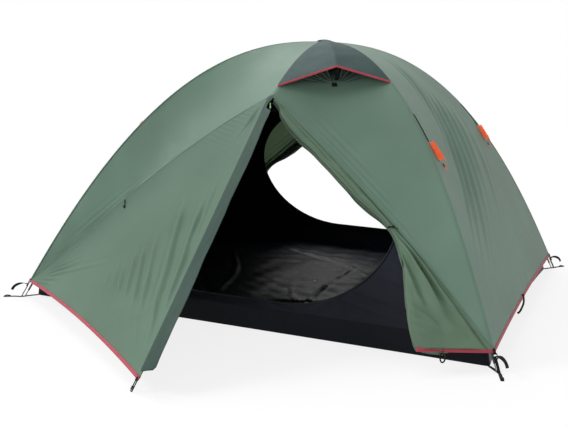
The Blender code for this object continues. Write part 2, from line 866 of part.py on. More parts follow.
def hank_points():
    """Loops drawn in at the waist and stacked, with a lead at the top and a tail at the bottom."""
    half_length = hank_length / 2 - hank_radius
    half_width = hank_width / 2 - hank_radius
    lead_arc = guy_arc + guy_loop_length + cord_radius + gap
    start, normal = guy_centre(lead_arc, hank_radius + hank_clearance)
    beyond = side_point(lead_arc + hank_lead + hank_length, start[1], hank_radius + hank_clearance)[0]
    down = unit(beyond - start)
    across = unit(np.cross(normal, down))
    normal = np.cross(down, across)
    centre = start + down * (hank_lead + half_length)
    total = hank_turns * hank_loop_points
    quarter = hank_loop_points // 4
    points = []
    for k in range(total + quarter + 1):
        angle = 2 * math.pi * k / hank_loop_points
        lobe = hank_waist * (1 + hank_lobe_growth * math.cos(angle) ** 2)
        side = half_width * math.sin(angle) * lobe * (1 - hank_lower_share * math.cos(angle))
        climb = hank_pitch * k / hank_loop_points
        points.append(centre - down * half_length * math.cos(angle) + across * side + normal * climb)
    leaving = points[-1]
    height = float(np.dot(leaving - start, normal))
    past = half_length * (1 + math.cos(2 * math.pi * quarter / hank_loop_points)) + 2 * hank_cord_diameter
    stops = [(0.0, 0.0), (past / 2, hank_pitch / 2), (past, hank_pitch / 2), (past + hank_tail, -height)]
    for k in range(1, hank_tail_points + 1):
        run = (past + hank_tail) * k / hank_tail_points
        points.append(leaving + down * run + normal * smooth_through(run, stops))
    return [points[0] - down * hank_lead] + points


def least_gap(points, radius, skip=4):
    """The least gap of a cord to itself, between points more than a few steps apart."""
    cloud = np.array(points)
    steps = np.diff(cloud, axis=0)
    dense = np.concatenate([cloud[:-1] + steps * share for share in (0.0, 0.25, 0.5, 0.75)], axis=1)
    dense = dense.reshape(-1, 3)
    best = min(float(np.min(np.linalg.norm(dense[i + 4 * skip:] - dense[i], axis=1)))
               for i in range(len(dense) - 4 * skip))
    return best - 2 * radius


guy_pivot = guy_centre(guy_arc, cord_radius + gap)[0]
loop_line = guy_loop_points()
hank_line = hank_points()
print("hank least gap mm", round(1000 * least_gap(hank_line, hank_radius), 2))
for corner, sign_x, sign_y in (("front_right", 1, 1), ("rear_right", 1, -1), ("rear_left", -1, -1),
                               ("front_left", -1, 1)):
    mirror = np.array([sign_x, sign_y, 1.0])
    loop_here = [point * mirror for point in loop_line]
    hank_here = [point * mirror for point in hank_line]
    hang(tube(f"guy_loop_{corner}", loop_here, cord_radius, "webbing", closed=True), guy_pivot * mirror)
    hang(tube(f"guyline_hank_{corner}", hank_here, hank_radius, "orange", sides=1), guy_pivot * mirror)


# Corner straps: from the inner tent's corner past the pole foot to a peg tab, and up to the hem's buckle
buckle_arc = corner_arc + tape_gap + binding_height + 2 * gap + buckle_bar / 2
buckle_r, buckle_z, buckle_out_r, buckle_out_z = vault_at(buckle_arc)
buckle_origin = np.array([buckle_r, buckle_z])
buckle_out = np.array([buckle_out_r, buckle_out_z])
buckle_down = np.array([buckle_out_z, -buckle_out_r])
strap_lift = buckle_thickness / 2 + gap + strap_thickness / 2


def buckle_spot(down, out):
    """A point beside the buckle: distance from the tent's middle and height."""
    return buckle_origin + buckle_down * down + buckle_out * out


def strap_profile():
    """The strap's middle line from the ground, behind the buckle's bar and through its window."""
    window = buckle_height / 2 - buckle_bar / 2
    reach = (buckle_spot(0.0, -strap_lift)[1] - strap_thickness / 2) / buckle_out_r
    line = [buckle_spot(reach, -strap_lift), buckle_spot(reach / 2, -strap_lift)]
    line.append(buckle_spot(window + strap_bend_length, -strap_lift))
    line.append(buckle_spot(window + strap_corner, -strap_lift))
    line.append(buckle_spot(window, -strap_lift + strap_corner))
    line.append(buckle_spot(window, strap_rise))
    heading = math.atan2(buckle_out_z, buckle_out_r)
    steps = 8
    for k in range(steps):
        heading -= tail_bend / steps
        line.append(line[-1] + tail_length / steps * np.array([math.cos(heading), math.sin(heading)]))
    return line


strap_foot = strap_profile()[0][0]
for corner, sign_x, sign_y in (("front_right", 1, -1), ("rear_right", 1, 1), ("rear_left", -1, 1),
                               ("front_left", -1, -1)):
    angle = math.atan2(sign_y * unit_y, sign_x * unit_x)
    swung = angle + math.radians(peg_tab_swing[corner])
    out = np.array([math.cos(angle), math.sin(angle), 0.0])
    side = np.array([-out[1], out[0], 0.0])
    tab_out = np.array([math.cos(swung), math.sin(swung), 0.0])
    tab_side = np.array([-tab_out[1], tab_out[0], 0.0])
    half = strap_width / 2
    rows = []
    for distance, height in strap_profile():
        middle = out * distance + up * height
        rows.append([middle - side * half, middle + side * half])
    strap = sheet(f"corner_strap_{corner}", rows, tuple(out), strap_thickness, "webbing", offset=0.0)
    level = up * strap_thickness / 2
    tray_corner = np.array([sign_x * floor_length / 2, sign_y * floor_width / 2, 0.0])
    run = out * strap_foot - tray_corner
    run_side = unit((-run[1], run[0], 0.0))
    ground_rows = []
    for distance in (2 * gap, np.linalg.norm(run) / 2, np.linalg.norm(run) - strap_join):
        middle = tray_corner + unit(run) * distance + level
        ground_rows.append([middle - run_side * half, middle + run_side * half])
    for distance in (tab_start, peg_tab_length / 2, peg_tab_length):
        middle = out * strap_foot + tab_out * distance + level
        ground_rows.append([middle - tab_side * half, middle + tab_side * half])
    ground = sheet(f"ground_strap_{corner}", ground_rows, tuple(up), strap_thickness, "webbing", offset=0.0,
                   collection=cutters)
    cut(strap, ground, "UNION")
    origin = out * buckle_r + up * buckle_z
    down_3d = out * buckle_down[0] + up * buckle_down[1]
    middle = origin + down_3d * (buckle_height - buckle_bar) / 2
    buckle_frame = frame_at(middle, side, down_3d, np.cross(side, down_3d))
    buckle = boxed(f"strap_buckle_{corner}", (buckle_width, buckle_height, buckle_thickness), buckle_frame,
                   "plastic")
    window = boxed(f"buckle_window_{corner}",
                   (buckle_width - 2 * buckle_bar, buckle_height - 2 * buckle_bar, 2 * buckle_thickness),
                   buckle_frame, "plastic", cutters)
    cut(buckle, window)
    hang(buckle, origin)

# Inner tent
inner_r = vault_r - normal_r * inner_inset
inner_z = vault_z - normal_z * inner_inset
inner_arc = np.concatenate([[0.0], np.cumsum(np.hypot(np.diff(inner_r), np.diff(inner_z)))])


def inner_at_height(height):
    return float(np.interp(-height, -inner_z, inner_arc))


def inner_at(arc):
    return float(np.interp(arc, inner_arc, inner_r)), float(np.interp(arc, inner_arc, inner_z))


sill_arc = inner_at_height(floor_wall_height + sill_gap)


def inner_rows(along_x, count=13, width=7):
    rows = []
    for i in range(count):
        arc = peak_opening + (sill_arc - peak_opening) * i / (count - 1)
        r, z = inner_at(arc)
        row = []
        for j in range(width):
            share = 2 * j / (width - 1) - 1
            if along_x:
                sag = inner_front_sag * (1 - share * share) * math.sin(math.pi * i / (count - 1))
                row.append(np.array([share * (unit_x * r - face_edge), -unit_y * r + sag, z]))
            else:
                row.append(np.array([unit_x * r, share * (unit_y * r - side_edge), z]))
        rows.append(row)
    return rows


inner_side = sheet("inner_wall_right", inner_rows(False), (1.0, 0.0, 0.4), cloth, "inner")
turned_copy(inner_side, "inner_wall_left", "inner")
inner_front = sheet("inner_wall_front", inner_rows(True), (0.0, -1.0, 0.4), cloth, "inner")


def doorway_outline(points=8):
    """Half-round top, straight sides and rounded bottom corners."""
    outline = []
    low = doorway_sill + doorway_corner_height
    straight = doorway_half_width - doorway_corner_width
    for side, first in ((-1, math.pi), (1, -math.pi / 2)):
        for k in range(points + 1):
            angle = first + math.pi / 2 * k / points
            outline.append((side * straight + doorway_corner_width * math.cos(angle),
                            low + doorway_corner_height * math.sin(angle)))
    rise = doorway_top - low
    for k in range(1, 2 * points):
        angle = math.pi * k / (2 * points)
        outline.append((doorway_half_width * math.cos(angle), low + rise * math.sin(angle)))
    return outline


doorway_mesh = bpy.data.meshes.new("doorway")
shape = bmesh.new()
ends = []
for y in (-foot_span_y, 0.0):
    ends.append([shape.verts.new((x, y, z)) for x, z in doorway_outline()])
shape.faces.new(ends[0])
shape.faces.new(list(reversed(ends[1])))
for k in range(len(ends[0])):
    j = (k + 1) % len(ends[0])
    shape.faces.new((ends[0][j], ends[0][k], ends[1][k], ends[1][j]))
bmesh.ops.recalc_face_normals(shape, faces=shape.faces)
shape.to_mesh(doorway_mesh)
shape.free()
doorway = add("doorway", doorway_mesh, "inner", cutters)
cut(inner_front, doorway)
turned_copy(inner_front, "inner_wall_rear", "inner")

# Groundsheet: a tray with raised sides, its floor drawn in between the corners of the left and right sides
rim_r, _ = inner_at(inner_at_height(floor_wall_height))
floor_line = []
rim_line = []
for sign in (1, -1):
    for k in range(floor_side_steps + 1):
        share = sign * (2 * k / floor_side_steps - 1)
        bow = floor_side_bow * (1 - share * share)
        floor_line.append((sign * (floor_length / 2 - bow), share * floor_width / 2, 0.0))
        rim_line.append((sign * unit_x * rim_r, share * unit_y * rim_r, floor_wall_height))
points_round = len(floor_line)
tray = bpy.data.meshes.new("groundsheet")
tray_faces = [tuple(reversed(range(points_round)))]
for k in range(points_round):
    beside = (k + 1) % points_round
    tray_faces.append((k, beside, points_round + beside, points_round + k))
tray.from_pydata(floor_line + rim_line, [], tray_faces)
groundsheet = add("groundsheet", tray, "floor")
solid = groundsheet.modifiers.new("thickness", "SOLIDIFY")
solid.thickness = cloth
solid.offset = -1.0
solid.use_even_offset = True
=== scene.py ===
import math
import bmesh
import bpy
import numpy as np
from mathutils import Matrix, Vector


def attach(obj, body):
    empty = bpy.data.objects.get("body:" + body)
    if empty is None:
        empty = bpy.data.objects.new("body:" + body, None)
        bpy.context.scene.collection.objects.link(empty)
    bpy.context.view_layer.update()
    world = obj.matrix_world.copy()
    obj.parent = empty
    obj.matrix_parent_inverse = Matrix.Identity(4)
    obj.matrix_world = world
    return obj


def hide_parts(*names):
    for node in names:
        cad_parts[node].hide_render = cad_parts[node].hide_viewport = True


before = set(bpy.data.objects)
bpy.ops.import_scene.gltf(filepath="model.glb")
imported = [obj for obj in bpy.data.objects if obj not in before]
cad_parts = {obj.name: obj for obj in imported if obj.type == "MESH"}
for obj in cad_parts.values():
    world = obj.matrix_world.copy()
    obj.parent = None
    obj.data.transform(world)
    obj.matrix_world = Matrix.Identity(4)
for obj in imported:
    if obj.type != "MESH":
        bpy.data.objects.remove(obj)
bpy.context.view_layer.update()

print("tent: frame loaded")

# Camera, from the photograph's vanishing lines: metres and radians
view = {"place": (1.537, -4.296, 1.175), "yaw": 0.381, "pitch": 0.179, "roll": 0.035,
        "focalPixels": 907.56, "pictureWidth": 568, "sensor": 36.0}


def unit(vector):
    vector = np.asarray(vector, float)
    return vector / np.maximum(np.linalg.norm(vector, axis=-1, keepdims=True), 1e-12)


def squareTo(vector, along):
    # What is left of a vector across the given direction, as a unit
    return unit(vector - np.dot(vector, along) * along)


def upwards(vector):
    return vector * np.sign(vector[..., 2:3])


def runLengths(r, z):
    return np.concatenate([[0.0], np.cumsum(np.hypot(np.diff(r), np.diff(z)))])


def frameAt(origin, xAxis, yAxis, zAxis):
    matrix = Matrix.Identity(4)
    for column, axis in enumerate((xAxis, yAxis, zAxis, origin)):
        for row in range(3):
            matrix[row][column] = float(axis[row])
    return matrix


def addObject(name, data):
    item = bpy.data.objects.new(name, data)
    bpy.context.scene.collection.objects.link(item)
    return item


def makeCamera():
    yaw, pitch, roll = view["yaw"], view["pitch"], view["roll"]
    ahead = np.array([-math.sin(yaw) * math.cos(pitch), math.cos(yaw) * math.cos(pitch), -math.sin(pitch)])
    right = np.array([math.cos(yaw), math.sin(yaw), 0.0])
    above = np.cross(right, ahead)
    data = bpy.data.cameras.new("photoCamera")
    data.sensor_width = view["sensor"]
    data.lens = view["sensor"] * view["focalPixels"] / view["pictureWidth"]
    item = addObject("photoCamera", data)
    item.matrix_world = frameAt(view["place"], right * math.cos(roll) + above * math.sin(roll),
                                above * math.cos(roll) - right * math.sin(roll), -ahead)
    bpy.context.scene.camera = item


makeCamera()

# The tent's shape, in metres, as the part has it
tent = {"footSpanX": 2.20, "footSpanY": 1.93, "height": 1.215, "spreadPower": 0.857, "risePower": 2.06,
        "hemHeight": 0.070, "hemRise": 0.013, "sideSag": 0.008, "peakOpening": 0.010,
        "zipTopReach": 0.650, "zipTopShare": 0.8033, "ridgePower": 1.75, "pegReach": 1.726,
        "pegHeight": 0.050, "hemBow": 0.022, "hemBowPower": 4, "bindingHeight": 0.011, "cloth": 0.0015,
        "gap": 0.0003, "zipEdge": 0.003, "topCut": 0.03}
seams = {"fixed": (0.095, 1.5), "door": (0.038, 1.0)}
poles = {"diameter": 0.0085, "ferrule": 0.0110, "ferruleLength": 0.060, "pin": 0.0050, "pinLength": 0.030,
         "clearance": 0.004, "crownReach": 0.20, "sections": 7, "sectionGap": 0.0008, "around": 14}
straps = {"thickness": 0.0012, "drawnWidth": 0.0140, "drawnThickness": 0.0022, "twist": 1.2, "tail": 0.080,
          "tailBend": 1.55, "tab": 0.080, "curl": 0.004, "groundLift": 0.0006, "foldInset": 0.002,
          "foldLength": 0.030, "foldLift": 0.0036, "foldBulge": 0.0040,
          "swing": {"front_right": -32.0, "rear_right": 12.0, "rear_left": 0.0, "front_left": -12.0}}
buckle = {"width": 0.022, "height": 0.024, "thickness": 0.003, "bar": 0.004, "edge": 0.0007,
          "cornerRadius": 0.003, "windowRadius": 0.0012, "ladder": (0.0016, 0.0010, 0.0004),
          "ladderPlace": (0.0095, 0.0016),
          "loop": (0.0110, 0.0010), "loopLine": [(-0.020, 0.0032), (-0.006, 0.0034), (0.0030, 0.0), (-0.006, -0.0034),
                                                 (-0.020, -0.0032)]}
corners = {"front_right": (1, -1), "rear_right": (1, 1), "rear_left": (-1, 1), "front_left": (-1, -1)}
# The rear is the front turned half round, and so is the left side the right one
bothEnds = (("front", False), ("rear", True))
bothSides = (("right", False), ("left", True))

footRadius = math.hypot(tent["footSpanX"], tent["footSpanY"]) / 2
unitX = tent["footSpanX"] / 2 / footRadius
unitY = tent["footSpanY"] / 2 / footRadius
sideEdge = (tent["cloth"] * unitY + tent["gap"] / 2) / unitX
faceEdge = (tent["cloth"] * unitX + tent["gap"] / 2) / unitY
up = np.array([0.0, 0.0, 1.0])
turnOver = np.array([-1.0, -1.0, 1.0])

# Vault line: the flysheet's outside over a pole, from the peak to the ground
turn = np.linspace(0.0, math.pi / 2, 4001)
vaultR = footRadius * np.sin(turn) ** tent["spreadPower"]
vaultZ = tent["height"] * np.cos(turn) ** tent["risePower"]
vaultArc = runLengths(vaultR, vaultZ)
stepR, stepZ = np.gradient(vaultR), np.gradient(vaultZ)
normalR, normalZ = -stepZ / np.hypot(stepR, stepZ), stepR / np.hypot(stepR, stepZ)


def vaultAt(arc):
    return [np.interp(arc, vaultArc, row) for row in (vaultR, vaultZ, normalR, normalZ)]


def arcAtHeight(height):
    return np.interp(-np.asarray(height), -vaultZ, vaultArc)


def stack(*parts):
    return np.stack(np.broadcast_arrays(*parts), axis=-1)


def sidePoint(arc, y, lift=0.0):
    r, z, outR, outZ = vaultAt(arc)
    normal = unit(stack(outR / unitX, 0.0, outZ))
    return stack(unitX * r, y, z) + np.asarray(lift)[..., None] * normal, normal


def hemArc(share):
    rise = tent["hemRise"] * (1 - np.asarray(share) ** 2)
    return arcAtHeight(tent["hemHeight"] + rise) - tent["bindingHeight"] - tent["gap"]


def poleLine(arc, signX=1, signY=-1, lift=0.0):
    r, z, outR, outZ = vaultAt(arc)
    r = r + lift * outR
    return stack(signX * unitX * r, signY * unitY * r, z + lift * outZ)


cornerArc = float(hemArc(1.0))
frontLeft, frontRight = poleLine(cornerArc, -1), poleLine(cornerArc, 1)
zipTop = np.array([0.0, -tent["zipTopReach"], tent["height"] * tent["zipTopShare"]])
pegCorner = np.array([0.0, -tent["pegReach"], tent["pegHeight"]])
zipRun = float(np.linalg.norm(pegCorner - zipTop))
zipDown = (pegCorner - zipTop) / zipRun
panelNormal = upwards(unit(np.cross(zipDown, frontLeft - zipTop)))
panelSide = unit(np.cross(zipDown, panelNormal))
panelSide = panelSide * np.sign(np.dot(panelSide, frontLeft - zipTop))
panelDown = -upwards(unit(np.cross(panelNormal, unit(pegCorner - frontLeft))))


def ridge(share):
    share = np.asarray(share, float)
    drop = (tent["height"] - zipTop[2]) * share ** tent["ridgePower"]
    return stack(0.0, zipTop[1] * share, tent["height"] - drop)


def seam(share, corner):
    share = np.asarray(share, float)
    bow, skew = seams["door" if corner[0] > 0 else "fixed"]
    away = squareTo(pegCorner - zipTop, unit(corner - zipTop))
    widest = 1 / (1 + skew)
    rise = share * (1 - share) ** skew / (widest * (1 - widest) ** skew)
    return zipTop + (corner - zipTop) * share[..., None] - away * bow * rise[..., None]


def hemLift(place):
    # How far a vestibule's hem bows up between its two corners
    place = np.asarray(place, float)[..., None]
    return -panelDown * tent["hemBow"] * 4 * place * (1 - place)


def ease(value, low=0.0, high=1.0):
    share = np.clip((np.asarray(value, float) - low) / (high - low), 0, 1)
    return share * share * (3 - 2 * share)


def smoothThrough(place, stops):
    places, values = zip(*stops)
    place = np.asarray(place, float)
    i = np.clip(np.searchsorted(places, place) - 1, 0, len(stops) - 2)
    places, values = np.array(places), np.array(values)
    share = np.clip((place - places[i]) / (places[i + 1] - places[i]), 0, 1)
    return values[i] + (values[i + 1] - values[i]) * share * share * (3 - 2 * share)


def between(value, first, last, rise, fall):
    # A window from first to last with soft shoulders
    return ease(value, first, first + rise) * ease(last - value, 0.0, fall)


def circleOf(count):
    return np.linspace(0, 2 * math.pi, count, endpoint=False)


def crossAlong(line, side):
    # Across a line of points, square to the given side
    return unit(np.cross(np.gradient(line, axis=0), side))


# Wrinkles are added to the cloth's grid of points along its normals
def softNoise(u, v, size, seed, waves=9):
    # Slow swells of about the given size, from a seeded sum of waves
    random = np.random.default_rng(seed)
    total = np.zeros(np.broadcast(u, v).shape)
    for _ in range(waves):
        heading, phase = random.uniform(0, 2 * math.pi, 2)
        length = size * random.uniform(0.7, 1.6)
        total += np.sin(2 * math.pi * (u * math.cos(heading) + v * math.sin(heading)) / length + phase)
    return total / math.sqrt(waves)


def creaseShape(distance, width):
    # A rounded ridge with a shallow trough on each side, as pulled cloth makes
    place = distance / width
    return np.exp(-place ** 2) - 0.45 * np.exp(-((np.abs(place) - 1.9) ** 2) / 0.8)


def lineFolds(u, v, folds):
    # Folds as (u0, v0, u1, v1, width, height) in metres on the cloth
    total = np.zeros(u.shape)
    for u0, v0, u1, v1, width, height in folds:
        length = math.hypot(u1 - u0, v1 - v0)
        au, av = (u1 - u0) / length, (v1 - v0) / length
        along = ((u - u0) * au + (v - v0) * av) / length
        across = -(u - u0) * av + (v - v0) * au
        across = across + 0.25 * width * np.sin(7 * along + 40 * width)
        total += height * creaseShape(across, width) * between(along, 0.0, 1.0, 0.3, 0.3)
    return total


def fanFolds(points, centre, towards, sideways, folds):
    # Folds that run out from a point, as (degrees, near, far, width, height)
    first = unit(towards)
    second = squareTo(sideways, first)
    x, y = (points - centre) @ first, (points - centre) @ second
    r, angle = np.hypot(x, y), np.arctan2(y, x)
    total = np.zeros(r.shape)
    for degrees, near, far, width, height in folds:
        wander = 0.006 * np.sin(5 * r + degrees)
        across = (angle - math.radians(degrees) + wander) * np.maximum(r, 1e-6)
        fade = between(r, near, far, 0.35 * (far - near), 0.5 * (far - near))
        total += height * creaseShape(across, width * (0.5 + 0.5 * r / far)) * fade
    return total


def gridNormals(points, outward):
    normals = unit(np.cross(np.gradient(points, axis=0), np.gradient(points, axis=1)))
    middle = normals[points.shape[0] // 2, points.shape[1] // 2]
    return normals if np.dot(middle, outward) > 0 else -normals


def gridLengths(points):
    # Distances in metres across and along the cloth
    across = np.concatenate([np.zeros((len(points), 1)), np.cumsum(
        np.linalg.norm(np.diff(points, axis=1), axis=2), axis=1)], axis=1)
    along = np.concatenate([np.zeros((1, points.shape[1])), np.cumsum(
        np.linalg.norm(np.diff(points, axis=0), axis=2), axis=0)], axis=0)
    middle = points.shape[1] // 2
    return across - across[:, middle:middle + 1], along


def addPiece(name, data, material, body="tent", slot=None):
    item = addObject(name, data)
    data.materials.clear()
    for one in material if isinstance(material, (list, tuple)) else [material]:
        data.materials.append(one)
    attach(item, body)
    return item


def gridMesh(name, points, outward, closed=False):
    # A quad mesh through rows of points, with a map of the cloth in metres
    rows, columns = points.shape[:2]
    index = np.arange(rows * columns).reshape(rows, columns)
    across, along = gridLengths(points)
    if closed:
        index = np.concatenate([index, index[:, :1]], axis=1)
        last = across[:, -1:] + np.linalg.norm(points[:, :1] - points[:, -1:], axis=2)
        across, along = np.concatenate([across, last], axis=1), np.concatenate([along, along[:, :1]], axis=1)
    corner = [index[:-1, :-1], index[:-1, 1:], index[1:, 1:], index[1:, :-1]]
    faces = np.stack(corner, axis=-1).reshape(-1, 4)
    place = np.stack([across, along], axis=-1)
    maps = np.stack([place[:-1, :-1], place[:-1, 1:], place[1:, 1:], place[1:, :-1]], axis=-2).reshape(-1, 2)
    mesh = bpy.data.meshes.new(name)
    mesh.from_pydata(points.reshape(-1, 3).tolist(), [], faces.tolist())
    layer = mesh.uv_layers.new(name="cloth")
    layer.data.foreach_set("uv", maps.astype(np.float32).ravel())
    middle = mesh.polygons[len(mesh.polygons) // 2]
    if np.dot(np.array(middle.normal), outward) < 0:
        mesh.flip_normals()
    mesh.shade_smooth()
    return mesh


def clothPiece(name, points, outward, material, node=None, thickness=0.0012, turned=False, closed=False, **riding):
    if turned:
        points, outward = points * turnOver, np.asarray(outward) * turnOver
    item = addPiece(name, gridMesh(name, points, outward, closed), material, **riding)
    solid = item.modifiers.new("thickness", "SOLIDIFY")
    solid.thickness, solid.offset, solid.use_even_offset = thickness, -1.0, False
    if node:
        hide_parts(node)
    return item


def flatSection(width, thickness):
    # The rounded-edge outline of a tape, as (across, normal) places
    edge = thickness * 0.4
    inner = [width * place for place in (0.5, 0.25, 0.0, -0.25, -0.5)]
    inner[0] -= edge
    inner[-1] += edge
    top = [(place, thickness / 2) for place in inner]
    low = [(place, -thickness / 2) for place in reversed(inner)]
    return [(width / 2, 0.0)] + top + [(-width / 2, 0.0)] + low


def cappedMesh(name, points):
    # A closed outline through rows of points, with both ends filled
    mesh = gridMesh(name, points, (0, 0, 1), closed=True)
    rows, width = points.shape[:2]
    shape = bmesh.new()
    shape.from_mesh(mesh)
    shape.verts.ensure_lookup_table()
    for first in (0, (rows - 1) * width):
        shape.faces.new([shape.verts[i] for i in range(first, first + width)])
    bmesh.ops.recalc_face_normals(shape, faces=shape.faces)
    shape.to_mesh(mesh)
    shape.free()
    mesh.shade_smooth()
    return mesh


def sweep(name, centres, across, normals, section, material, node=None, turned=False, **riding):
    # A closed outline carried along a line, with capped ends
    centres, section = np.asarray(centres, float), np.asarray(section, float)
    across = np.broadcast_to(np.asarray(across, float), centres.shape)
    normals = np.broadcast_to(np.asarray(normals, float), centres.shape)
    points = centres[:, None] + across[:, None] * section[None, :, :1] + normals[:, None] * section[None, :, 1:]
    item = addPiece(name, cappedMesh(name, points * turnOver if turned else points), material, **riding)
    if node:
        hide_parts(node)
    return item


def cordPiece(name, points, radius, material, closed=False, sides=3, node=None, turned=False, **riding):
    # A round cord as a curve through the points
    points = np.asarray(points, float) * (turnOver if turned else 1.0)
    curve = bpy.data.curves.new(name, "CURVE")
    curve.dimensions, curve.bevel_depth, curve.bevel_resolution = "3D", radius, sides
    curve.use_fill_caps = not closed
    line = curve.splines.new("POLY")
    line.points.add(len(points) - 1)
    line.points.foreach_set("co", np.hstack([points, np.ones((len(points), 1))]).ravel())
    line.use_cyclic_u = closed
    line.use_smooth = True
    item = addPiece(name, curve, material, **riding)
    if node:
        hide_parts(node)
    return item


def throughPoints(points, count, closed=False):
    # A smooth line of evenly spaced points through a few given ones
    points = np.asarray(points, float)
    if closed:
        points = np.vstack([points[-1:], points, points[:2]])
    else:
        points = np.vstack([2 * points[:1] - points[1:2], points, 2 * points[-1:] - points[-2:-1]])
    dense = []
    for a, b, c, d in zip(points[:-3], points[1:-2], points[2:-1], points[3:]):
        t = np.linspace(0, 1, 24, endpoint=False)[:, None]
        dense.append(0.5 * (2 * b + (c - a) * t + (2 * a - 5 * b + 4 * c - d) * t ** 2
                            + (3 * b - a - 3 * c + d) * t ** 3))
    dense = np.vstack(dense + [points[-2:-1]])
    along = np.concatenate([[0], np.cumsum(np.linalg.norm(np.diff(dense, axis=0), axis=1))])
    places = np.linspace(0, along[-1], count + 1)[:-1] if closed else np.linspace(0, along[-1], count)
    return np.stack([np.interp(places, along, dense[:, k]) for k in range(3)], axis=1)


def lineLength(points):
    return float(np.linalg.norm(np.diff(np.asarray(points), axis=0), axis=1).sum())


# Materials, with their colours as hex values made linear
def hexColour(code):
    values = [int(code[i:i + 2], 16) / 255 for i in (1, 3, 5)]
    return tuple(v / 12.92 if v <= 0.04045 else ((v + 0.055) / 1.055) ** 2.4 for v in values) + (1.0,)


def addNode(tree, kind, settings=None, **sockets):
    node = tree.nodes.new(kind)
    for key, value in (settings or {}).items():
        setattr(node, key, value)
    for key, value in sockets.items():
        socket = node.inputs[int(key[1:]) if key[0] == "_" else key.replace("_", " ")]
        if isinstance(value, bpy.types.NodeSocket):
            tree.links.new(value, socket)
        else:
            socket.default_value = value
    return node


def newMaterial(name):
    material = bpy.data.materials.new(name)
    material.use_nodes = True
    tree = material.node_tree
    tree.nodes.clear()
    return material, tree


def withSurface(material, surface):
    addNode(material.node_tree, "ShaderNodeOutputMaterial", Surface=surface)
    return material


def rampOf(tree, factor, stops):
    # A colour ramp from (place, colour) stops
    node = addNode(tree, "ShaderNodeValToRGB", Fac=factor)
    ramp = node.color_ramp
    for place, colour in stops[1:-1]:
        ramp.elements.new(place)
    for element, (place, colour) in zip(ramp.elements, stops):
        element.position, element.color = place, colour
    return node.outputs["Color"]


def twoTones(tree, factor, colours, places):
    return rampOf(tree, factor, list(zip(places, (hexColour(code) for code in colours))))


def clothPlace(tree):
    # Metres along and across the cloth
    return addNode(tree, "ShaderNodeUVMap", {"uv_map": "cloth"}).outputs["UV"]


def objectPlace(tree):
    return addNode(tree, "ShaderNodeTexCoord").outputs["Object"]


def noiseAt(tree, place, scale, detail, **more):
    return addNode(tree, "ShaderNodeTexNoise", Vector=place, Scale=scale, Detail=detail, **more).outputs[0]


def bandsAt(tree, place, spacing, way, **more):
    # Wave texture bands repeat every 0.314 / scale metres
    return addNode(tree, "ShaderNodeTexWave", {"bands_direction": way}, Vector=place, Scale=0.314 / spacing,
                   **more).outputs["Fac"]


def mixTones(tree, first, second, share=0.5):
    return addNode(tree, "ShaderNodeMix", {"data_type": "FLOAT"}, Factor=share, _2=first, _3=second).outputs[0]


def mathOf(tree, operation, first, second):
    return addNode(tree, "ShaderNodeMath", {"operation": operation}, _0=first, _1=second).outputs[0]


def aroundRoughness(tree, value, roughness, spread):
    return addNode(tree, "ShaderNodeMapRange", Value=value, _1=0.3, _2=0.7, _3=roughness - spread,
                   _4=roughness + spread).outputs[0]


def bumpOf(tree, height, distance, strength, **more):
    return addNode(tree, "ShaderNodeBump", Height=height, Distance=distance, Strength=strength, **more).outputs[0]


def mixShaders(tree, share, first, second):
    return addNode(tree, "ShaderNodeMixShader", _0=share, _1=first, _2=second).outputs[0]


def wovenCloth(name, colours, thread, roughness, sheen, weaveDepth, crumple, through=None, gloss=0.4):
    # Colours are dark, middle and light hex values, thread is the drawn thread spacing in metres,
    # crumple is the depth of the fine creases in metres, through is the share and colour of light let through
    material, tree = newMaterial(name)
    cloth, place = clothPlace(tree), objectPlace(tree)
    fade = noiseAt(tree, place, 1.6, 3.0, Roughness=0.55)
    slub = addNode(tree, "ShaderNodeMapping", {"vector_type": "POINT"}, Vector=cloth, Scale=(160.0, 14.0, 1.0))
    tone = mixTones(tree, fade, noiseAt(tree, slub.outputs[0], 1.0, 2.0), 0.12)
    dark, middle, light = (hexColour(code) for code in colours)
    colour = rampOf(tree, tone, [(0.33, dark), (0.5, middle), (0.68, light)])
    weave = mathOf(tree, "MULTIPLY", *(bandsAt(tree, cloth, thread, way) for way in ("X", "Y")))
    small = noiseAt(tree, place, 38.0, 4.0, Roughness=0.6)
    bump = bumpOf(tree, weave, weaveDepth, 0.6, Normal=bumpOf(tree, small, crumple, 1.0))
    shader = addNode(tree, "ShaderNodeBsdfPrincipled", Base_Color=colour, Normal=bump, Sheen_Weight=sheen,
                     Roughness=aroundRoughness(tree, small, roughness, 0.05), Sheen_Roughness=0.4,
                     Specular_IOR_Level=gloss)
    last = shader.outputs[0]
    if through:
        share, tint = through
        glow = addNode(tree, "ShaderNodeBsdfTranslucent", Color=hexColour(tint), Normal=bump)
        last = mixShaders(tree, share, last, glow.outputs[0])
    return withSurface(material, last)


def ribbedWebbing(name, colours, rib, roughness, depth, gloss=0.5):
    # Bands across a woven tape, rib is their spacing in metres
    material, tree = newMaterial(name)
    ribs = bandsAt(tree, clothPlace(tree), rib, "Y", Distortion=1.2, Detail=1.0, Detail_Scale=2.0)
    tone = mixTones(tree, ribs, noiseAt(tree, objectPlace(tree), 55.0, 3.0))
    shader = addNode(tree, "ShaderNodeBsdfPrincipled", Base_Color=twoTones(tree, tone, colours, (0.25, 0.75)),
                     Roughness=roughness, Normal=bumpOf(tree, ribs, depth, 0.8), Sheen_Weight=0.05,
                     Sheen_Roughness=0.5, Specular_IOR_Level=gloss)
    return withSurface(material, shader.outputs[0])


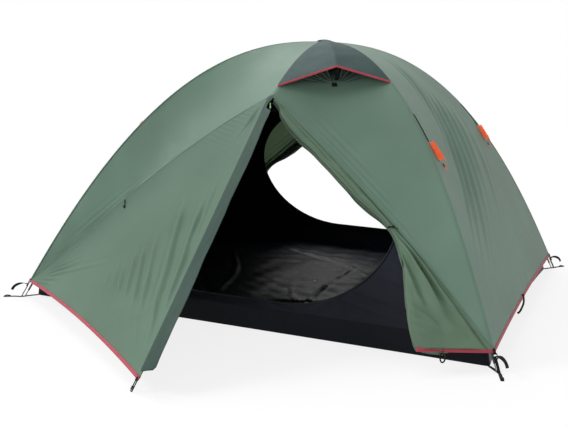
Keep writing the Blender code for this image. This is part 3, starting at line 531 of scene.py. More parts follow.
def braidedCord(name, colours, pitch, roughness, glow=0.0):
    # Diagonal strands round a cord, pitch is their spacing in metres; glow is a little emission, which keeps a
    # bright dye as vivid as it looks in the photo
    material, tree = newMaterial(name)
    place = objectPlace(tree)
    strands = [bandsAt(tree, addNode(tree, "ShaderNodeMapping", Vector=place, Scale=(way, 1.0, 1.0)).outputs[0],
                       pitch, "DIAGONAL") for way in (1.0, -1.0)]
    braid = mathOf(tree, "MAXIMUM", *strands)
    shader = addNode(tree, "ShaderNodeBsdfPrincipled", Base_Color=twoTones(tree, braid, colours, (0.3, 0.9)),
                     Roughness=roughness, Normal=bumpOf(tree, braid, 0.0003, 0.7), Specular_IOR_Level=0.2,
                     Emission_Color=hexColour(colours[1]), Emission_Strength=glow)
    return withSurface(material, shader.outputs[0])


def solidMaterial(name, colours, roughness, grain, depth, metallic=0.0, gloss=0.5, glow=0.0):
    # Moulded plastic, drawn rod or metal: a fine grain, scale 1 / grain metres, and slight tone changes
    material, tree = newMaterial(name)
    place = objectPlace(tree)
    fine, slow = noiseAt(tree, place, 1 / grain, 3.0), noiseAt(tree, place, 30.0, 2.0)
    shader = addNode(tree, "ShaderNodeBsdfPrincipled", Metallic=metallic, Specular_IOR_Level=gloss,
                     Base_Color=twoTones(tree, mixTones(tree, fine, slow), colours, (0.35, 0.65)),
                     Roughness=aroundRoughness(tree, slow, roughness, 0.06), Normal=bumpOf(tree, fine, depth, 0.5),
                     Emission_Color=hexColour(colours[1]), Emission_Strength=glow)
    return withSurface(material, shader.outputs[0])


# Coated polyester taffeta, woven fine and calendered: soft sheen, slow fading, small creases; the
# 0.2 mm threads are drawn at 1.6 mm to show close up, and some light comes through
flyPolyester = wovenCloth("flyPolyester", ("#73917f", "#7c9c8b", "#84a493"), 0.0016, 0.52, 0.14, 0.00005,
                          0.0007, through=(0.24, "#cfe0c4"))
# The same cloth where it is gathered: greener colours, which paint the light let through it, and more see-through
doorPaintedBacklightPolyester = wovenCloth("doorPaintedBacklightPolyester", ("#708a74", "#7a957f", "#809d86"), 0.0016, 0.56, 0.18, 0.00005,
                           0.0008, through=(0.30, "#cfe0c4"))
# The vestibules' closed halves are of the same cloth; they look a shade darker, and these darker colours are painted
# shade
vestibuleShadedPolyester = wovenCloth("vestibuleShadedPolyester", ("#5c7a69", "#658573", "#6d8d7c"), 0.0016, 0.52, 0.14,
                                0.00005, 0.0007, through=(0.28, "#cfe0c4"))
# Slate grey polyester of the storm flaps, a heavier weave with a duller face
slatePolyester = wovenCloth("slatePolyester", ("#364b44", "#3e534b", "#465c54"), 0.0020, 0.66, 0.06, 0.00008,
                            0.0006, gloss=0.15)
# The hoods' cloth, coated on its face and a shade darker and bluer
hoodPolyester = wovenCloth("hoodPolyester", ("#2f4746", "#354e4d", "#3c5756"), 0.0020, 0.62, 0.03, 0.00008,
                           0.0006, gloss=0.15)
# Black breathable taffeta of the inner tent: dull, with a faint blue cast
innerTaffeta = wovenCloth("innerTaffeta", ("#11121a", "#1a1c26", "#252834"), 0.0018, 0.50, 0.02, 0.00008,
                          0.0009, gloss=0.14)
# Polyurethane coated floor cloth: smoother and glossier, with packing creases
floorCloth = wovenCloth("floorCloth", ("#0d0f14", "#14171f", "#1b1f29"), 0.0024, 0.42, 0.0, 0.00008,
                        0.0012, gloss=0.10)
# Red polyester grosgrain binding, ribbed across
redGrosgrain = ribbedWebbing("redGrosgrain", ("#a93646", "#cb5062"), 0.0022, 0.60, 0.0002)
# Green tape of the rays that gather the vent netting, narrow and ribbed across
greenTape = ribbedWebbing("greenTape", ("#5d7868", "#6c8977"), 0.0030, 0.60, 0.0001)
# Black polypropylene webbing, ribbed and dull
blackWebbing = ribbedWebbing("blackWebbing", ("#0d0d0f", "#1e1e22"), 0.0020, 0.70, 0.0003, gloss=0.15)
# Polyester braid of the guylines, dyed a vivid orange, and the elastic cords' black braid
orangeBraid = braidedCord("orangeBraid", ("#ee5a26", "#ff7038"), 0.0022, 0.60, glow=0.28)
blackBraid = braidedCord("blackBraid", ("#0c0c0e", "#202024"), 0.0020, 0.70)
# Acetal, injection moulded, satin from a fine spark-eroded mould
moulded = solidMaterial("mouldedAcetal", ("#101012", "#1a1a1e"), 0.42, 0.0006, 0.00004, gloss=0.25)
# Light green moulded rubbery plastic of the zip pullers; a little emission keeps them as bright as in the photo
greenPuller = solidMaterial("greenPuller", ("#8ccf8a", "#a9dfa6"), 0.50, 0.0008, 0.00005, glow=0.35)
# Pultruded glass fibre rod: dark grey, fine lengthways fibres, satin
glassFibre = solidMaterial("glassFibre", ("#3a3b3e", "#505257"), 0.38, 0.0008, 0.00005)
# Drawn steel tube of the ferrules, zinc plated
zincSteel = solidMaterial("zincSteel", ("#9fa3a8", "#c3c7cc"), 0.32, 0.0010, 0.00003, metallic=1.0)
# Pale grey moulded nylon of the pole tips
greyNylon = solidMaterial("greyNylon", ("#b4b6b8", "#cfd1d2"), 0.45, 0.0008, 0.00004)


def netting(name, colours, open):
    # Fine polyester netting, too fine to draw hole by hole: part of the light goes straight through
    material, tree = newMaterial(name)
    fold = noiseAt(tree, clothPlace(tree), 60.0, 2.0)
    shader = addNode(tree, "ShaderNodeBsdfPrincipled", Base_Color=twoTones(tree, fold, colours, (0.3, 0.7)),
                     Roughness=0.7)
    clear = addNode(tree, "ShaderNodeBsdfTransparent")
    return withSurface(material, mixShaders(tree, open, shader.outputs[0], clear.outputs[0]))


# Dark greens: partly the netting's own grey-green, partly painted shade from the hood above it
shadedVentNetting = netting("shadedVentNetting", ("#222b27", "#3a4640"), 0.35)

print("tent: materials made")


def trefoilKnot(centre, across, down, out, size, rise, count):
    # A closed overhand knot: size across and down in metres, rise as a middle height and a swing about it
    angle = circleOf(count)[:, None]
    return (centre + across * (size[0] * (np.sin(angle) + 1.4 * np.sin(2 * angle)))
            + down * (size[1] * (np.cos(angle) - 1.4 * np.cos(2 * angle)))
            + out * (rise[0] + rise[1] * np.sin(3 * angle)))


# Guylines, wound in hanks on their loops just beside the pole seams
guy = {"topShare": 0.7564, "loopLength": 0.155, "loopWidth": 0.0075, "loopCord": 0.0030, "seamDistance": 0.018,
       "follow": 0.7, "clearance": 0.0012,
       "turns": 5, "length": 0.084, "width": 0.046, "waist": 0.42, "lobeGrowth": 3.2, "lowerShare": 0.30,
       "lead": 0.007, "tail": 0.042, "tailPoints": 6, "cord": 0.0025, "pitch": 0.0032, "loopPoints": 14,
       "tieTurns": 3, "tieAcross": 0.0125, "tieOver": 0.0012, "tiePitch": 0.0026, "knotSize": (0.0022, 0.0022),
       "knotRise": (0.0009, -0.0012), "knotBelow": 0.002, "runner": (0.0085, 0.0040), "runnerPlace": (0.030, 0.012)}
guyArc = float(arcAtHeight(tent["height"] * guy["topShare"]))
loopRadius, hankRadius = guy["loopCord"] / 2, guy["cord"] / 2


def guyCentre(arc, lift, across=0.0):
    # Beside the pole line at the loop's top, then falling away from it
    half, top = (unitY * vaultAt(at)[0] - sideEdge for at in (arc, guyArc))
    y = guy["seamDistance"] - top - guy["follow"] * (half - top)
    share = y / half
    along = (arc - tent["peakOpening"]) / (hemArc(share) - tent["peakOpening"])
    return sidePoint(arc, y + across, lift - tent["sideSag"] * (1 - share ** 2) * math.sin(math.pi * along))


def hankFrame():
    leadArc = guyArc + guy["loopLength"] + loopRadius + tent["gap"]
    start, normal = guyCentre(leadArc, hankRadius + guy["clearance"])
    beyond = sidePoint(leadArc + guy["lead"] + guy["length"], start[1], hankRadius + guy["clearance"])[0]
    down = unit(beyond - start)
    across = unit(np.cross(normal, down))
    return start, down, across, np.cross(down, across)


def hankRoute():
    # Loops drawn in at the waist and stacked, with a lead at the top and a tail at the bottom
    start, down, across, normal = hankFrame()
    halfLength, halfWidth = guy["length"] / 2 - hankRadius, guy["width"] / 2 - hankRadius
    centre = start + down * (guy["lead"] + halfLength)
    count = guy["turns"] * guy["loopPoints"] + guy["loopPoints"] // 4
    step = np.arange(count + 1)[:, None]
    angle = 2 * math.pi * step / guy["loopPoints"]
    lobe = guy["waist"] * (1 + guy["lobeGrowth"] * np.cos(angle) ** 2)
    side = halfWidth * np.sin(angle) * lobe * (1 - guy["lowerShare"] * np.cos(angle))
    climb = guy["pitch"] * step / guy["loopPoints"]
    turns = centre - down * halfLength * np.cos(angle) + across * side + normal * climb
    leaving = turns[-1]
    height = float(np.dot(leaving - start, normal))
    quarter = guy["loopPoints"] // 4
    past = halfLength * (1 + math.cos(2 * math.pi * quarter / guy["loopPoints"])) + 2 * guy["cord"]
    stops = [(0.0, 0.0), (past / 2, guy["pitch"] / 2), (past, guy["pitch"] / 2), (past + guy["tail"], -height)]
    run = (past + guy["tail"]) * np.arange(1, guy["tailPoints"] + 1) / guy["tailPoints"]
    tail = leaving + down * run[:, None] + normal * smoothThrough(run, stops)[:, None]
    return np.vstack([turns[:1] - down * guy["lead"], turns, tail])


def guyLoopRoute():
    half = guy["loopWidth"] / 2 - loopRadius
    lift = loopRadius + tent["gap"]
    angle = np.pi * np.arange(7) / 6
    points = [guyCentre(guyArc + half * (1 - math.sin(a)), lift, half * math.cos(a))[0] for a in angle]
    places = [guyArc + guy["loopLength"] * k / 12 for k in range(1, 12)]
    points += [guyCentre(arc, lift, -half)[0] for arc in places]
    points += [guyCentre(guyArc + guy["loopLength"] - half * (1 - math.sin(a)), lift, -half * math.cos(a))[0]
               for a in angle]
    return points + [guyCentre(arc, lift, half)[0] for arc in reversed(places)]


hankLine = hankRoute()
hankSmooth = throughPoints(hankLine, 6 * len(hankLine))
for corner, (signX, signY) in corners.items():
    mirror = np.array([signX, -signY, 1.0])
    body = f"guyline_{corner}"
    cordPiece(f"guy_loop_cord_{corner}", np.array(guyLoopRoute()) * mirror, loopRadius, blackBraid, closed=True,
              node=f"guy_loop_{corner}", body=body, slot="webbing")
    hank = cordPiece(f"guyline_{corner}_cord", hankSmooth * mirror, hankRadius, orangeBraid, sides=2,
                     node=f"guyline_hank_{corner}", body=body, slot="cord")
    start, down, across, normal = hankFrame()
    # The tie: turns of cord round the waist, and a knot where the tail ends
    waist = start + down * (guy["lead"] + guy["length"] / 2 - hankRadius)
    deep = guy["turns"] * guy["pitch"] / 2
    angle = np.linspace(0, guy["tieTurns"] * 2 * math.pi, 73)[:, None]
    wrap = (waist + normal * deep + across * (guy["tieAcross"] * np.cos(angle))
            + normal * ((deep + guy["tieOver"]) * np.sin(angle))
            + down * (guy["tiePitch"] * (angle / (2 * math.pi) - guy["tieTurns"] / 2)))
    tie = cordPiece(f"hank_tie_{corner}", wrap * mirror, hankRadius, orangeBraid, sides=2, body=body, slot="cord")
    trefoil = trefoilKnot(hankSmooth[-1] + down * guy["knotBelow"], across, down, normal, guy["knotSize"],
                          guy["knotRise"], 40)
    knot = cordPiece(f"hank_knot_{corner}", trefoil * mirror, hankRadius * 0.9, orangeBraid, closed=True, sides=2,
                     body=body, slot="cord")
    runner = throughPoints([hankSmooth[-1] - down * above for above in guy["runnerPlace"]], 5)
    runner = sweep(f"line_runner_{corner}", runner * mirror, across * mirror, normal * mirror,
                   flatSection(*guy["runner"]), moulded, body=body, slot="plastic")
    round(lineLength(hankSmooth), 3)

print("tent: guylines made")

# Side panels: one curve from the peak to the hem, with soft folds running down them
side = {"rows": 170, "columns": 140, "swell": 0.0014, "slope": -1.9, "hemPulls": 0.0006, "deepest": 0.0060,
        "folds": [(-0.52, 0.16, 0.66, 0.018, 0.0060), (-0.38, 0.36, 0.88, 0.020, 0.0085),
                  (-0.24, 0.34, 0.90, 0.022, 0.0095), (-0.08, 0.36, 0.92, 0.022, 0.0095),
                  (0.09, 0.38, 0.86, 0.024, 0.0080), (0.27, 0.40, 0.80, 0.026, 0.0060),
                  (-0.66, 0.14, 0.50, 0.016, 0.0050), (0.48, 0.46, 0.84, 0.026, 0.0045)]}


def sidePanel(seed):
    share = np.linspace(-1, 1, side["columns"])[None]
    t = np.linspace(0, 1, side["rows"])[:, None]
    arc = tent["peakOpening"] + (hemArc(share) - tent["peakOpening"]) * t
    r, z, outR, outZ = vaultAt(arc)
    half = unitY * r - sideEdge
    sag = tent["sideSag"] * (1 - share ** 2) * np.sin(math.pi * t)
    points, normals = sidePoint(arc, share * half, -sag)
    lift = np.zeros(points.shape[:2])
    for place, first, last, width, height in side["folds"]:
        across = (share - place - side["slope"] * (t - 0.6)) * half + 0.004 * np.sin(6 * t + 9 * place)
        lift += height * creaseShape(across, width) * between(t, first, last, 0.2, 0.25)
    lift += side["swell"] * softNoise(share * half, arc, 0.30, seed) * np.sin(math.pi * t)
    # Short pulls along the hem and towards the corners
    hem = ease(t, 0.86, 1.0) * (1 - share ** 2)
    lift += side["hemPulls"] * hem * np.sin(share * 31 + seed) * np.sin(share * 12)
    lift *= ease(1 - np.abs(share), 0.0, 0.07)
    return points + np.maximum(lift, -side["deepest"])[..., None] * normals


for (name, turned), seed in zip(bothSides, (3, 8)):
    piece = clothPiece(f"flysheet_side_{name}", sidePanel(seed), (1.0, 0.0, 0.4), flyPolyester,
                       node=f"fly_side_panel_{name}", turned=turned, slot="fly")

# Face panels: between the poles and the ridge line, down to the two lower seams
face = {"rows": 110, "half": 70, "swell": 0.0014, "deepest": 0.004,
        "doorFolds": [(0.020, 0.06, 0.78, 0.010, 0.0048), (0.052, 0.08, 0.66, 0.012, 0.0040),
                      (0.092, 0.12, 0.60, 0.014, 0.0034), (0.145, 0.14, 0.52, 0.016, 0.0026)],
        "cornerPulls": [(0.040, 0.45, 0.97, 0.012, 0.0010), (0.095, 0.55, 0.98, 0.014, 0.0009)]}


def facePoints(share, blend, corner, side):
    onPole = poleLine(cornerArc * share, side) - np.array([side * faceEdge, 0.0, 0.0])
    blend = np.asarray(blend)[..., None]
    share = np.asarray(share, float)
    middle = blend * onPole + (1 - blend) * ridge(share)
    end = blend * corner + (1 - blend) * zipTop
    return middle + share[..., None] ** 3 * (seam(np.broadcast_to(blend[..., 0], share.shape), corner) - end)


def facePanel(seed):
    first = tent["peakOpening"] / vaultArc[-1]
    share = np.linspace(first, 1, face["rows"])[:, None]
    halves = []
    for side, corner in ((-1, frontLeft), (1, frontRight)):
        blend = np.linspace(0, 1, face["half"] + 1)[None]
        grid = np.broadcast_to(share, (face["rows"], face["half"] + 1))
        halves.append(facePoints(grid, np.broadcast_to(blend, grid.shape), corner, side))
    points = np.concatenate([halves[0][:, :0:-1], halves[1]], axis=1)
    normals = gridNormals(points, (0.0, -0.6, 0.8))
    u, v = gridLengths(points)
    place = np.linspace(-1, 1, points.shape[1])[None]
    left, right = np.clip(-place, 0, 1), np.clip(place, 0, 1)
    lift = face["swell"] * softNoise(u, v, 0.26, seed)
    # Folds beside the gathered door: pulled along its seam
    for depth, low, high, width, height in face["doorFolds"]:
        across = (1 - share) - depth - 0.05 * (right - 0.4) ** 2
        lift += height * creaseShape(across, width) * between(right, low, high, 0.2, 0.2)
    # Quiet pulls towards the left corner
    for depth, low, high, width, height in face["cornerPulls"]:
        across = (1 - share) - depth * (1.6 - left)
        lift += height * creaseShape(across, width) * between(left, low, high, 0.3, 0.2)
    lift *= ease(1 - np.abs(place), 0.0, 0.10) * ease(1 - share, 0.0, 0.02) * ease(share, 0.05, 0.3)
    return points + np.maximum(lift, -face["deepest"])[..., None] * normals


for (name, turned), seed in zip(bothEnds, (5, 12)):
    piece = clothPiece(f"flysheet_face_{name}", facePanel(seed), (0.0, -0.6, 0.8), flyPolyester,
                       node=f"fly_face_{name}", turned=turned, slot="fly")

# Fixed half of each vestibule: flat between its seam and the zip, folds fan out from the peg corner
vestibule = {"rows": 215, "columns": 185, "zipClear": (0.020, 0.055), "swell": 0.0010, "pucker": 0.0012,
             "deepest": 0.008,
             "folds": [(0.070, 0.18, 0.280, 0.94, 0.0150, 0.0130), (0.015, 0.18, 0.150, 0.92, 0.0125, 0.0105),
                       (0.165, 0.25, 0.352, 0.75, 0.0115, 0.0100), (0.230, 0.28, 0.412, 0.73, 0.0105, 0.0095),
                       (0.315, 0.34, 0.440, 0.68, 0.0095, 0.0075), (0.380, 0.38, 0.480, 0.62, 0.0090, 0.0058),
                       (0.440, 0.42, 0.515, 0.60, 0.0085, 0.0044), (0.120, 0.30, 0.215, 0.64, 0.0090, 0.0048),
                       (0.500, 0.42, 0.555, 0.58, 0.0085, 0.0030), (0.040, 0.10, 0.120, 0.36, 0.0085, 0.0042),
                       (0.090, 0.08, 0.230, 0.34, 0.0090, 0.0038), (0.050, 0.50, 0.110, 1.02, 0.0090, 0.0044)],
             "cornerFan": [(67, 0.02, 0.24, 0.006, 0.0038), (63, 0.03, 0.34, 0.007, 0.0042),
                           (58, 0.03, 0.46, 0.007, 0.0042), (53, 0.04, 0.34, 0.007, 0.0035),
                           (47, 0.03, 0.30, 0.007, 0.0042), (41, 0.04, 0.40, 0.008, 0.0035),
                           (34, 0.03, 0.46, 0.008, 0.0042), (27, 0.05, 0.64, 0.010, 0.0035),
                           (20, 0.04, 0.30, 0.008, 0.0035), (12, 0.03, 0.26, 0.008, 0.0029)],
             "zipFan": [(2.5, 0.05, 0.66, 0.006, 0.0029), (6.5, 0.08, 0.42, 0.007, 0.0029),
                        (12, 0.04, 0.30, 0.007, 0.0023), (19, 0.03, 0.24, 0.007, 0.0023),
                        (26, 0.04, 0.30, 0.006, 0.0026), (33, 0.03, 0.20, 0.006, 0.0021)]}


def vestibulePanel(seed):
    share = np.linspace(tent["topCut"] * 0.6, 1, vestibule["rows"])[:, None]
    place = np.linspace(0, 1, vestibule["columns"])[None, :, None]
    onSeam = seam(share[:, 0], frontLeft)[:, None]
    onZip = (zipTop + zipDown * zipRun * share + panelSide * tent["zipEdge"])[:, None]
    points = onSeam + (onZip - onSeam) * place + hemLift(place[..., 0]) * (share ** tent["hemBowPower"])[..., None]
    u, v = gridLengths(points)
    lift = vestibule["swell"] * softNoise(u, v, 0.22, seed)
    fromPeg = points - pegCorner
    lift += lineFolds(fromPeg @ panelSide, fromPeg @ -zipDown, vestibule["folds"])
    lift += fanFolds(points, frontLeft, pegCorner - frontLeft, zipTop - frontLeft, vestibule["cornerFan"])
    lift += fanFolds(points, zipTop, zipDown, panelSide, vestibule["zipFan"])
    # Puckers along the seam under the zip's top
    near = ease(0.32 - share, 0.0, 0.1) * ease(share, 0.04, 0.10) * (1 - place[..., 0]) ** 2
    lift += vestibule["pucker"] * near * np.sin(share * 300 + place[..., 0] * 4)
    # Nothing is raised beside the zip, where the storm flap opens over the panel
    lift *= ease(place[..., 0], 0.0, 0.05) * ease((points - zipTop) @ panelSide, *vestibule["zipClear"])
    return points + np.maximum(lift, -vestibule["deepest"])[..., None] * panelNormal


for (name, turned), seed in zip(bothEnds, (6, 15)):
    # The fixed halves take the fly cloth with painted shade in its darker colours
    piece = clothPiece(f"vestibule_fixed_{name}", vestibulePanel(seed), panelNormal, vestibuleShadedPolyester,
                       node=f"fly_vestibule_panel_{name}", turned=turned, slot="fly")

# Doors: unzipped, gathered in folds behind their seam and tied back halfway down
door = {"widths": [(0.0, 0.012), (0.24, 0.054), (0.42, 0.051), (0.575, 0.030), (1.0, 0.258)], "tiePlace": 0.575,
        "top": [(0.0, 0.0), (0.045, 0.002), (0.08, 0.020), (0.12, 0.022), (0.24, 0.0)],
        "hemShift": 0.120, "rows": 170, "front": 52, "layers": 11, "perLayer": 14,
        "valleys": [(0.52, 0.02, 0.34, 0.0050, 0.0080), (0.66, 0.26, 0.60, 0.0052, 0.0085),
                    (0.84, 0.36, 0.58, 0.0040, 0.0060)],
        "tieFan": [(4.0, 0.04, 0.64, 0.018, 0.0100), (9.0, 0.01, 0.46, 0.011, -0.0200),
                   (13.5, 0.02, 0.56, 0.020, 0.0110), (20.0, 0.03, 0.44, 0.012, -0.0100)],
        "crumples": [(0.190, 1.16, 0.110, 1.34, 0.016, -0.0080), (0.235, 1.24, 0.150, 1.36, 0.012, 0.0060)],
        "foldHem": (0.0026, 0.0110), "zipTape": (0.018, 0.0016), "tuckWidth": 0.0062, "tuckDepth": 0.014,
        "swell": 0.0060, "edgeSink": 0.0050, "fanLimits": (-0.020, 0.016), "wrinkle": 0.0012, "droop": 0.034,
        "layerGap": 0.0012, "looseGap": 0.0026}
doorChord = frontRight - zipTop
doorAlong = unit(doorChord)
doorAcross = squareTo(pegCorner - zipTop, doorAlong)
doorNormal = upwards(unit(np.cross(doorAlong, doorAcross)))


def doorWidth(share):
    # The cloth stays by the closed top of the zip, then leaves it
    return smoothThrough(share, door["widths"]) + smoothThrough(share, door["top"])


def doorEdge(share):
    share = np.asarray(share, float)[..., None]
    start = seam(share[..., 0], frontRight)
    return start - doorChord * door["hemShift"] * share ** 3 + doorAcross * doorWidth(share[..., 0])[..., None]


def doorRow(share, seed):
    # One row of the gathered door, from its seam over the folded edge and back and forth behind it:
    # the place across it and the number of layers in front
    back = float(smoothThrough(share, [(0.0, 0.30), (0.70, 0.30), (1.0, 0.66)]))
    outs, sinks = [np.linspace(0, 1, door["front"])], [np.zeros(door["front"])]
    last = 1.0
    for layer in range(door["layers"]):
        reach = back + 0.05 * math.sin(3 * share + 2 * layer) if layer % 2 == 0 else \
            0.93 + 0.05 * math.sin(9 * share + layer + seed)
        step = np.linspace(0, 1, door["perLayer"] + 1)[1:]
        outs.append(last + (reach - last) * step)
        sinks.append(layer + ease(step, 0.0, 0.35))
        last = reach
    return np.concatenate(outs), np.concatenate(sinks)


def doorGrid(seed):
    share = np.linspace(tent["topCut"] * 0.6, 1.0, door["rows"])
    out, sink = (np.array(rows) for rows in zip(*(doorRow(float(one), seed) for one in share)))
    start, edge = seam(share, frontRight)[:, None], doorEdge(share)[:, None]
    flat = start + (edge - start) * out[..., None]
    share, span = share[:, None], np.linalg.norm(edge - start, axis=2)
    loose = smoothThrough(share, [(0.0, 0.3), (0.16, 1.0), (0.46, 0.9), (door["tiePlace"], 0.3), (0.72, 1.0),
                                  (1.0, 0.9)])
    across = span * out
    # The cloth tucks back just behind the seam, then lies in rolls with valleys between them
    tuck = 0.010 + 0.012 * ease(share, door["tiePlace"], 0.8)
    depth = -door["tuckDepth"] * np.exp(-((across - tuck) / door["tuckWidth"]) ** 2) * (
        0.4 + 0.6 * loose) * smoothThrough(
        share, [(0.0, 0.0), (0.10, 0.25), (0.30, 0.40), (0.46, 1.0), (1.0, 1.25)])
    low = ease(share, door["tiePlace"], door["tiePlace"] + 0.14)
    depth = depth + door["swell"] * loose * np.sin(math.pi * np.clip(out, 0, 1)) \
        - door["edgeSink"] * loose * ease(out, 0.88, 1.0)
    for place, first, last, width, deep in door["valleys"]:
        middle = place + 0.06 * np.sin(5 * share + 9 * place + seed) + 0.02 * np.sin(19 * share + 5 * place)
        depth = depth - deep * loose * np.exp(-(((out - middle) * span) / width) ** 2) * between(
            share, first, last, 0.08, 0.08)
    # Below the tie the folds spread from it down to the hem
    tie = seam(door["tiePlace"] - 0.02, frontRight) + doorAcross * 0.012
    fan = fanFolds(flat, tie, doorAlong, doorAcross, door["tieFan"])
    depth = depth + np.clip(fan, *door["fanLimits"]) * ease(
        share, door["tiePlace"] - 0.02, door["tiePlace"] + 0.05) * ease(out, 0.0, 0.1)
    u, v = np.broadcast_arrays(across, share * np.linalg.norm(doorChord))
    depth = depth + lineFolds(u, v, door["crumples"]) * low \
        + door["wrinkle"] * softNoise(u, v, 0.10, 50 + int(seed)) * loose
    depth = depth - (door["layerGap"] + door["looseGap"] * loose) * sink
    # The inner layers hang lower than the first at the hem
    droop = door["droop"] * ease(share, 0.72, 1.0) * (1 - np.clip(out, 0, 1)) * np.clip(sink, 0, 1)
    return flat + doorNormal * depth[..., None] + doorAlong * droop[..., None]


for (name, turned), seed in zip(bothEnds, (0.0, 1.1)):
    grid = doorGrid(seed)
    # The gathered door's greener colours are painted light let through the cloth
    piece = clothPiece(f"vestibule_door_{name}", grid, doorNormal, doorPaintedBacklightPolyester, node=f"fly_door_{name}",
                       turned=turned, slot="fly", thickness=0.0010)
    # The hem's binding goes on round the first fold, and the open half of the zip ends inside the folds
    behind = grid[-1][door["front"]:door["front"] + door["perLayer"] + 1]
    hem = sweep(f"door_hem_folds_{name}", behind - doorAlong * 0.004, doorNormal, -doorAlong,
                flatSection(*door["foldHem"]), redGrosgrain, turned=turned, slot="binding")
    tape = sweep(f"door_zip_tape_{name}", grid[4:-2, -1] - doorNormal * 0.001, doorAcross, doorNormal,
                 flatSection(*door["zipTape"]), blackWebbing, turned=turned, slot="webbing")

# Hoods over the doors' vents, each propped up at a peak in its brim
hood = {"ridgeReach": 0.588, "poleShare": 0.8626, "peak": (0.236, -0.480, 0.9119), "start": 0.010,
        "flare": 1.5, "lift": 0.0026, "crown": 0.0075, "crownReach": 0.075, "rows": 60, "columns": 80,
        "sag": 0.006, "binding": (0.0105, 0.0032), "stiffener": (0.0060, 0.0018), "stiffenerShares": (0.50, 0.76),
        "stiffenerPlace": 0.972, "stiffenerDrop": 0.0120, "swell": 0.0012, "bindingDrop": 0.0025,
        "bindingAcross": (0.0, -0.35, -0.94), "bindingOut": (0.2, -0.92, 0.34), "stiffenerAcross": (0.1, -0.9, 0.0)}
hoodArc = float(arcAtHeight(tent["height"] * hood["poleShare"]))
hoodLeft = ridge(hood["ridgeReach"] / tent["zipTopReach"])
hoodRight = poleLine(hoodArc)
hoodPeak = np.array([hood["peak"][0], hood["peak"][1], tent["height"] * hood["peak"][2]])
brimChord = hoodRight - hoodLeft
hoodMiddle = float(np.dot(hoodPeak - hoodLeft, brimChord) / np.dot(brimChord, brimChord))


def brim(share):
    share = np.asarray(share, float)[..., None]
    left = hoodLeft + (hoodPeak - hoodLeft) * share / hoodMiddle
    right = hoodRight + (hoodPeak - hoodRight) * (1 - share) / (1 - hoodMiddle)
    return np.where(share < hoodMiddle, left, right)


def hoodPoint(along, share, lift=0.0):
    along, share = np.broadcast_arrays(np.asarray(along, float), np.asarray(share, float))
    onRidge = ridge(along * hood["ridgeReach"] / tent["zipTopReach"])
    onPole = poleLine(hoodArc * along) - np.array([2 * faceEdge, 0.0, 0.0])
    flat = hoodLeft + brimChord * share[..., None]
    base = onRidge + (onPole - onRidge) * share[..., None]
    onLeft, onRight = (np.clip(part, 0, 1) for part in (share / hoodMiddle, (share - hoodMiddle) / (1 - hoodMiddle)))
    sag = hood["sag"] * np.sin(math.pi * along) * (np.sin(math.pi * onLeft) ** 2 + np.sin(math.pi * onRight) ** 2)
    crown = hood["crown"] * np.exp(-(along * hood["ridgeReach"] / hood["crownReach"]) ** 2)
    rise = hood["lift"] + lift - sag * along + crown
    return base + along[..., None] ** hood["flare"] * (brim(share) - flat) + up * rise[..., None]


for (name, turned), seed in zip(bothEnds, (2, 9)):
    along = np.linspace(hood["start"], 1, hood["rows"])[:, None]
    share = np.linspace(0, 1, hood["columns"])[None]
    grid = hoodPoint(along, share)
    u, v = gridLengths(grid)
    swell = hood["swell"] * softNoise(u, v, 0.14, seed) * ease(along, 0.1, 0.5) * np.sin(math.pi * share)
    grid = grid + up * swell[..., None]
    piece = clothPiece(f"vent_hood_{name}", grid, (0.2, -0.4, 0.9), hoodPolyester, node=f"fly_hood_{name}",
                       turned=turned, slot="slate")
    edge = hoodPoint(np.ones(90), np.linspace(0, 1, 90))
    rim = sweep(f"hood_brim_binding_{name}", edge - up * hood["bindingDrop"],
                hood["bindingAcross"], unit(hood["bindingOut"]), flatSection(*hood["binding"]), redGrosgrain,
                turned=turned, slot="binding")
    second = hoodPoint(np.full(60, hood["stiffenerPlace"]), np.linspace(*hood["stiffenerShares"], 60),
                       -hood["stiffenerDrop"])
    inner = sweep(f"hood_stiffener_{name}", second, hood["stiffenerAcross"], up,
                  flatSection(*hood["stiffener"]), redGrosgrain, turned=turned, slot="binding")

print("tent: flysheet made")

# Storm flaps: sewn beside the zip and folded over it
flap = {"widths": [(0.0, 0.026), (0.018, 0.025), (0.032, 0.009), (0.052, 0.010), (0.080, 0.050), (0.25, 0.058),
                   (1.0, 0.066)],
        "seamWidth": 0.014, "riseWidth": 0.008, "lift": 0.0045, "start": 0.012, "lengthShare": 0.985, "rows": 170,
        "columns": 26, "hem": (0.0045, 0.0007), "hemLift": 0.0003, "wave": 0.0016, "flutter": 0.0006,
        "packingFold": 0.0004, "sway": 0.0012, "cornerRound": 0.010}


def flapGrid(seed):
    share = np.linspace(0, 1, flap["rows"])[:, None]
    width = smoothThrough(share, flap["widths"])
    low, high = tent["gap"] + tent["cloth"], flap["lift"] + tent["cloth"]
    seamEdge = tent["zipEdge"] + flap["seamWidth"]
    step = np.linspace(0, 1, flap["columns"])[None]
    place = seamEdge - (seamEdge + width) * step
    rise = ease(step, 0.02, (flap["riseWidth"] + 0.004) / (seamEdge + 0.05))
    lift = low + (high - low) * rise
    wave = flap["wave"] * np.sin(26 * share + 3 * step + seed)
    wave = wave + flap["flutter"] * np.sin(61 * share + 5 * step + seed * 2)
    lift = lift + np.maximum(wave * ease(step, 0.3, 1.0), -0.0010)
    # A soft fold line down its middle, where it was creased in packing
    lift = lift + flap["packingFold"] * creaseShape((step - 0.52) * width + 0.003 * np.sin(9 * share), 0.004)
    place = place + flap["sway"] * np.sin(14 * share + seed) * ease(step, 0.6, 1.0)
    run = flap["start"] + (zipRun * flap["lengthShare"] - flap["start"]) * share
    run = run - flap["cornerRound"] * ease(share, 0.97, 1.0) * ease(np.abs(step - 0.5), 0.36, 0.5)
    return zipTop + zipDown * run[..., None] + panelSide * place[..., None] + panelNormal * lift[..., None]


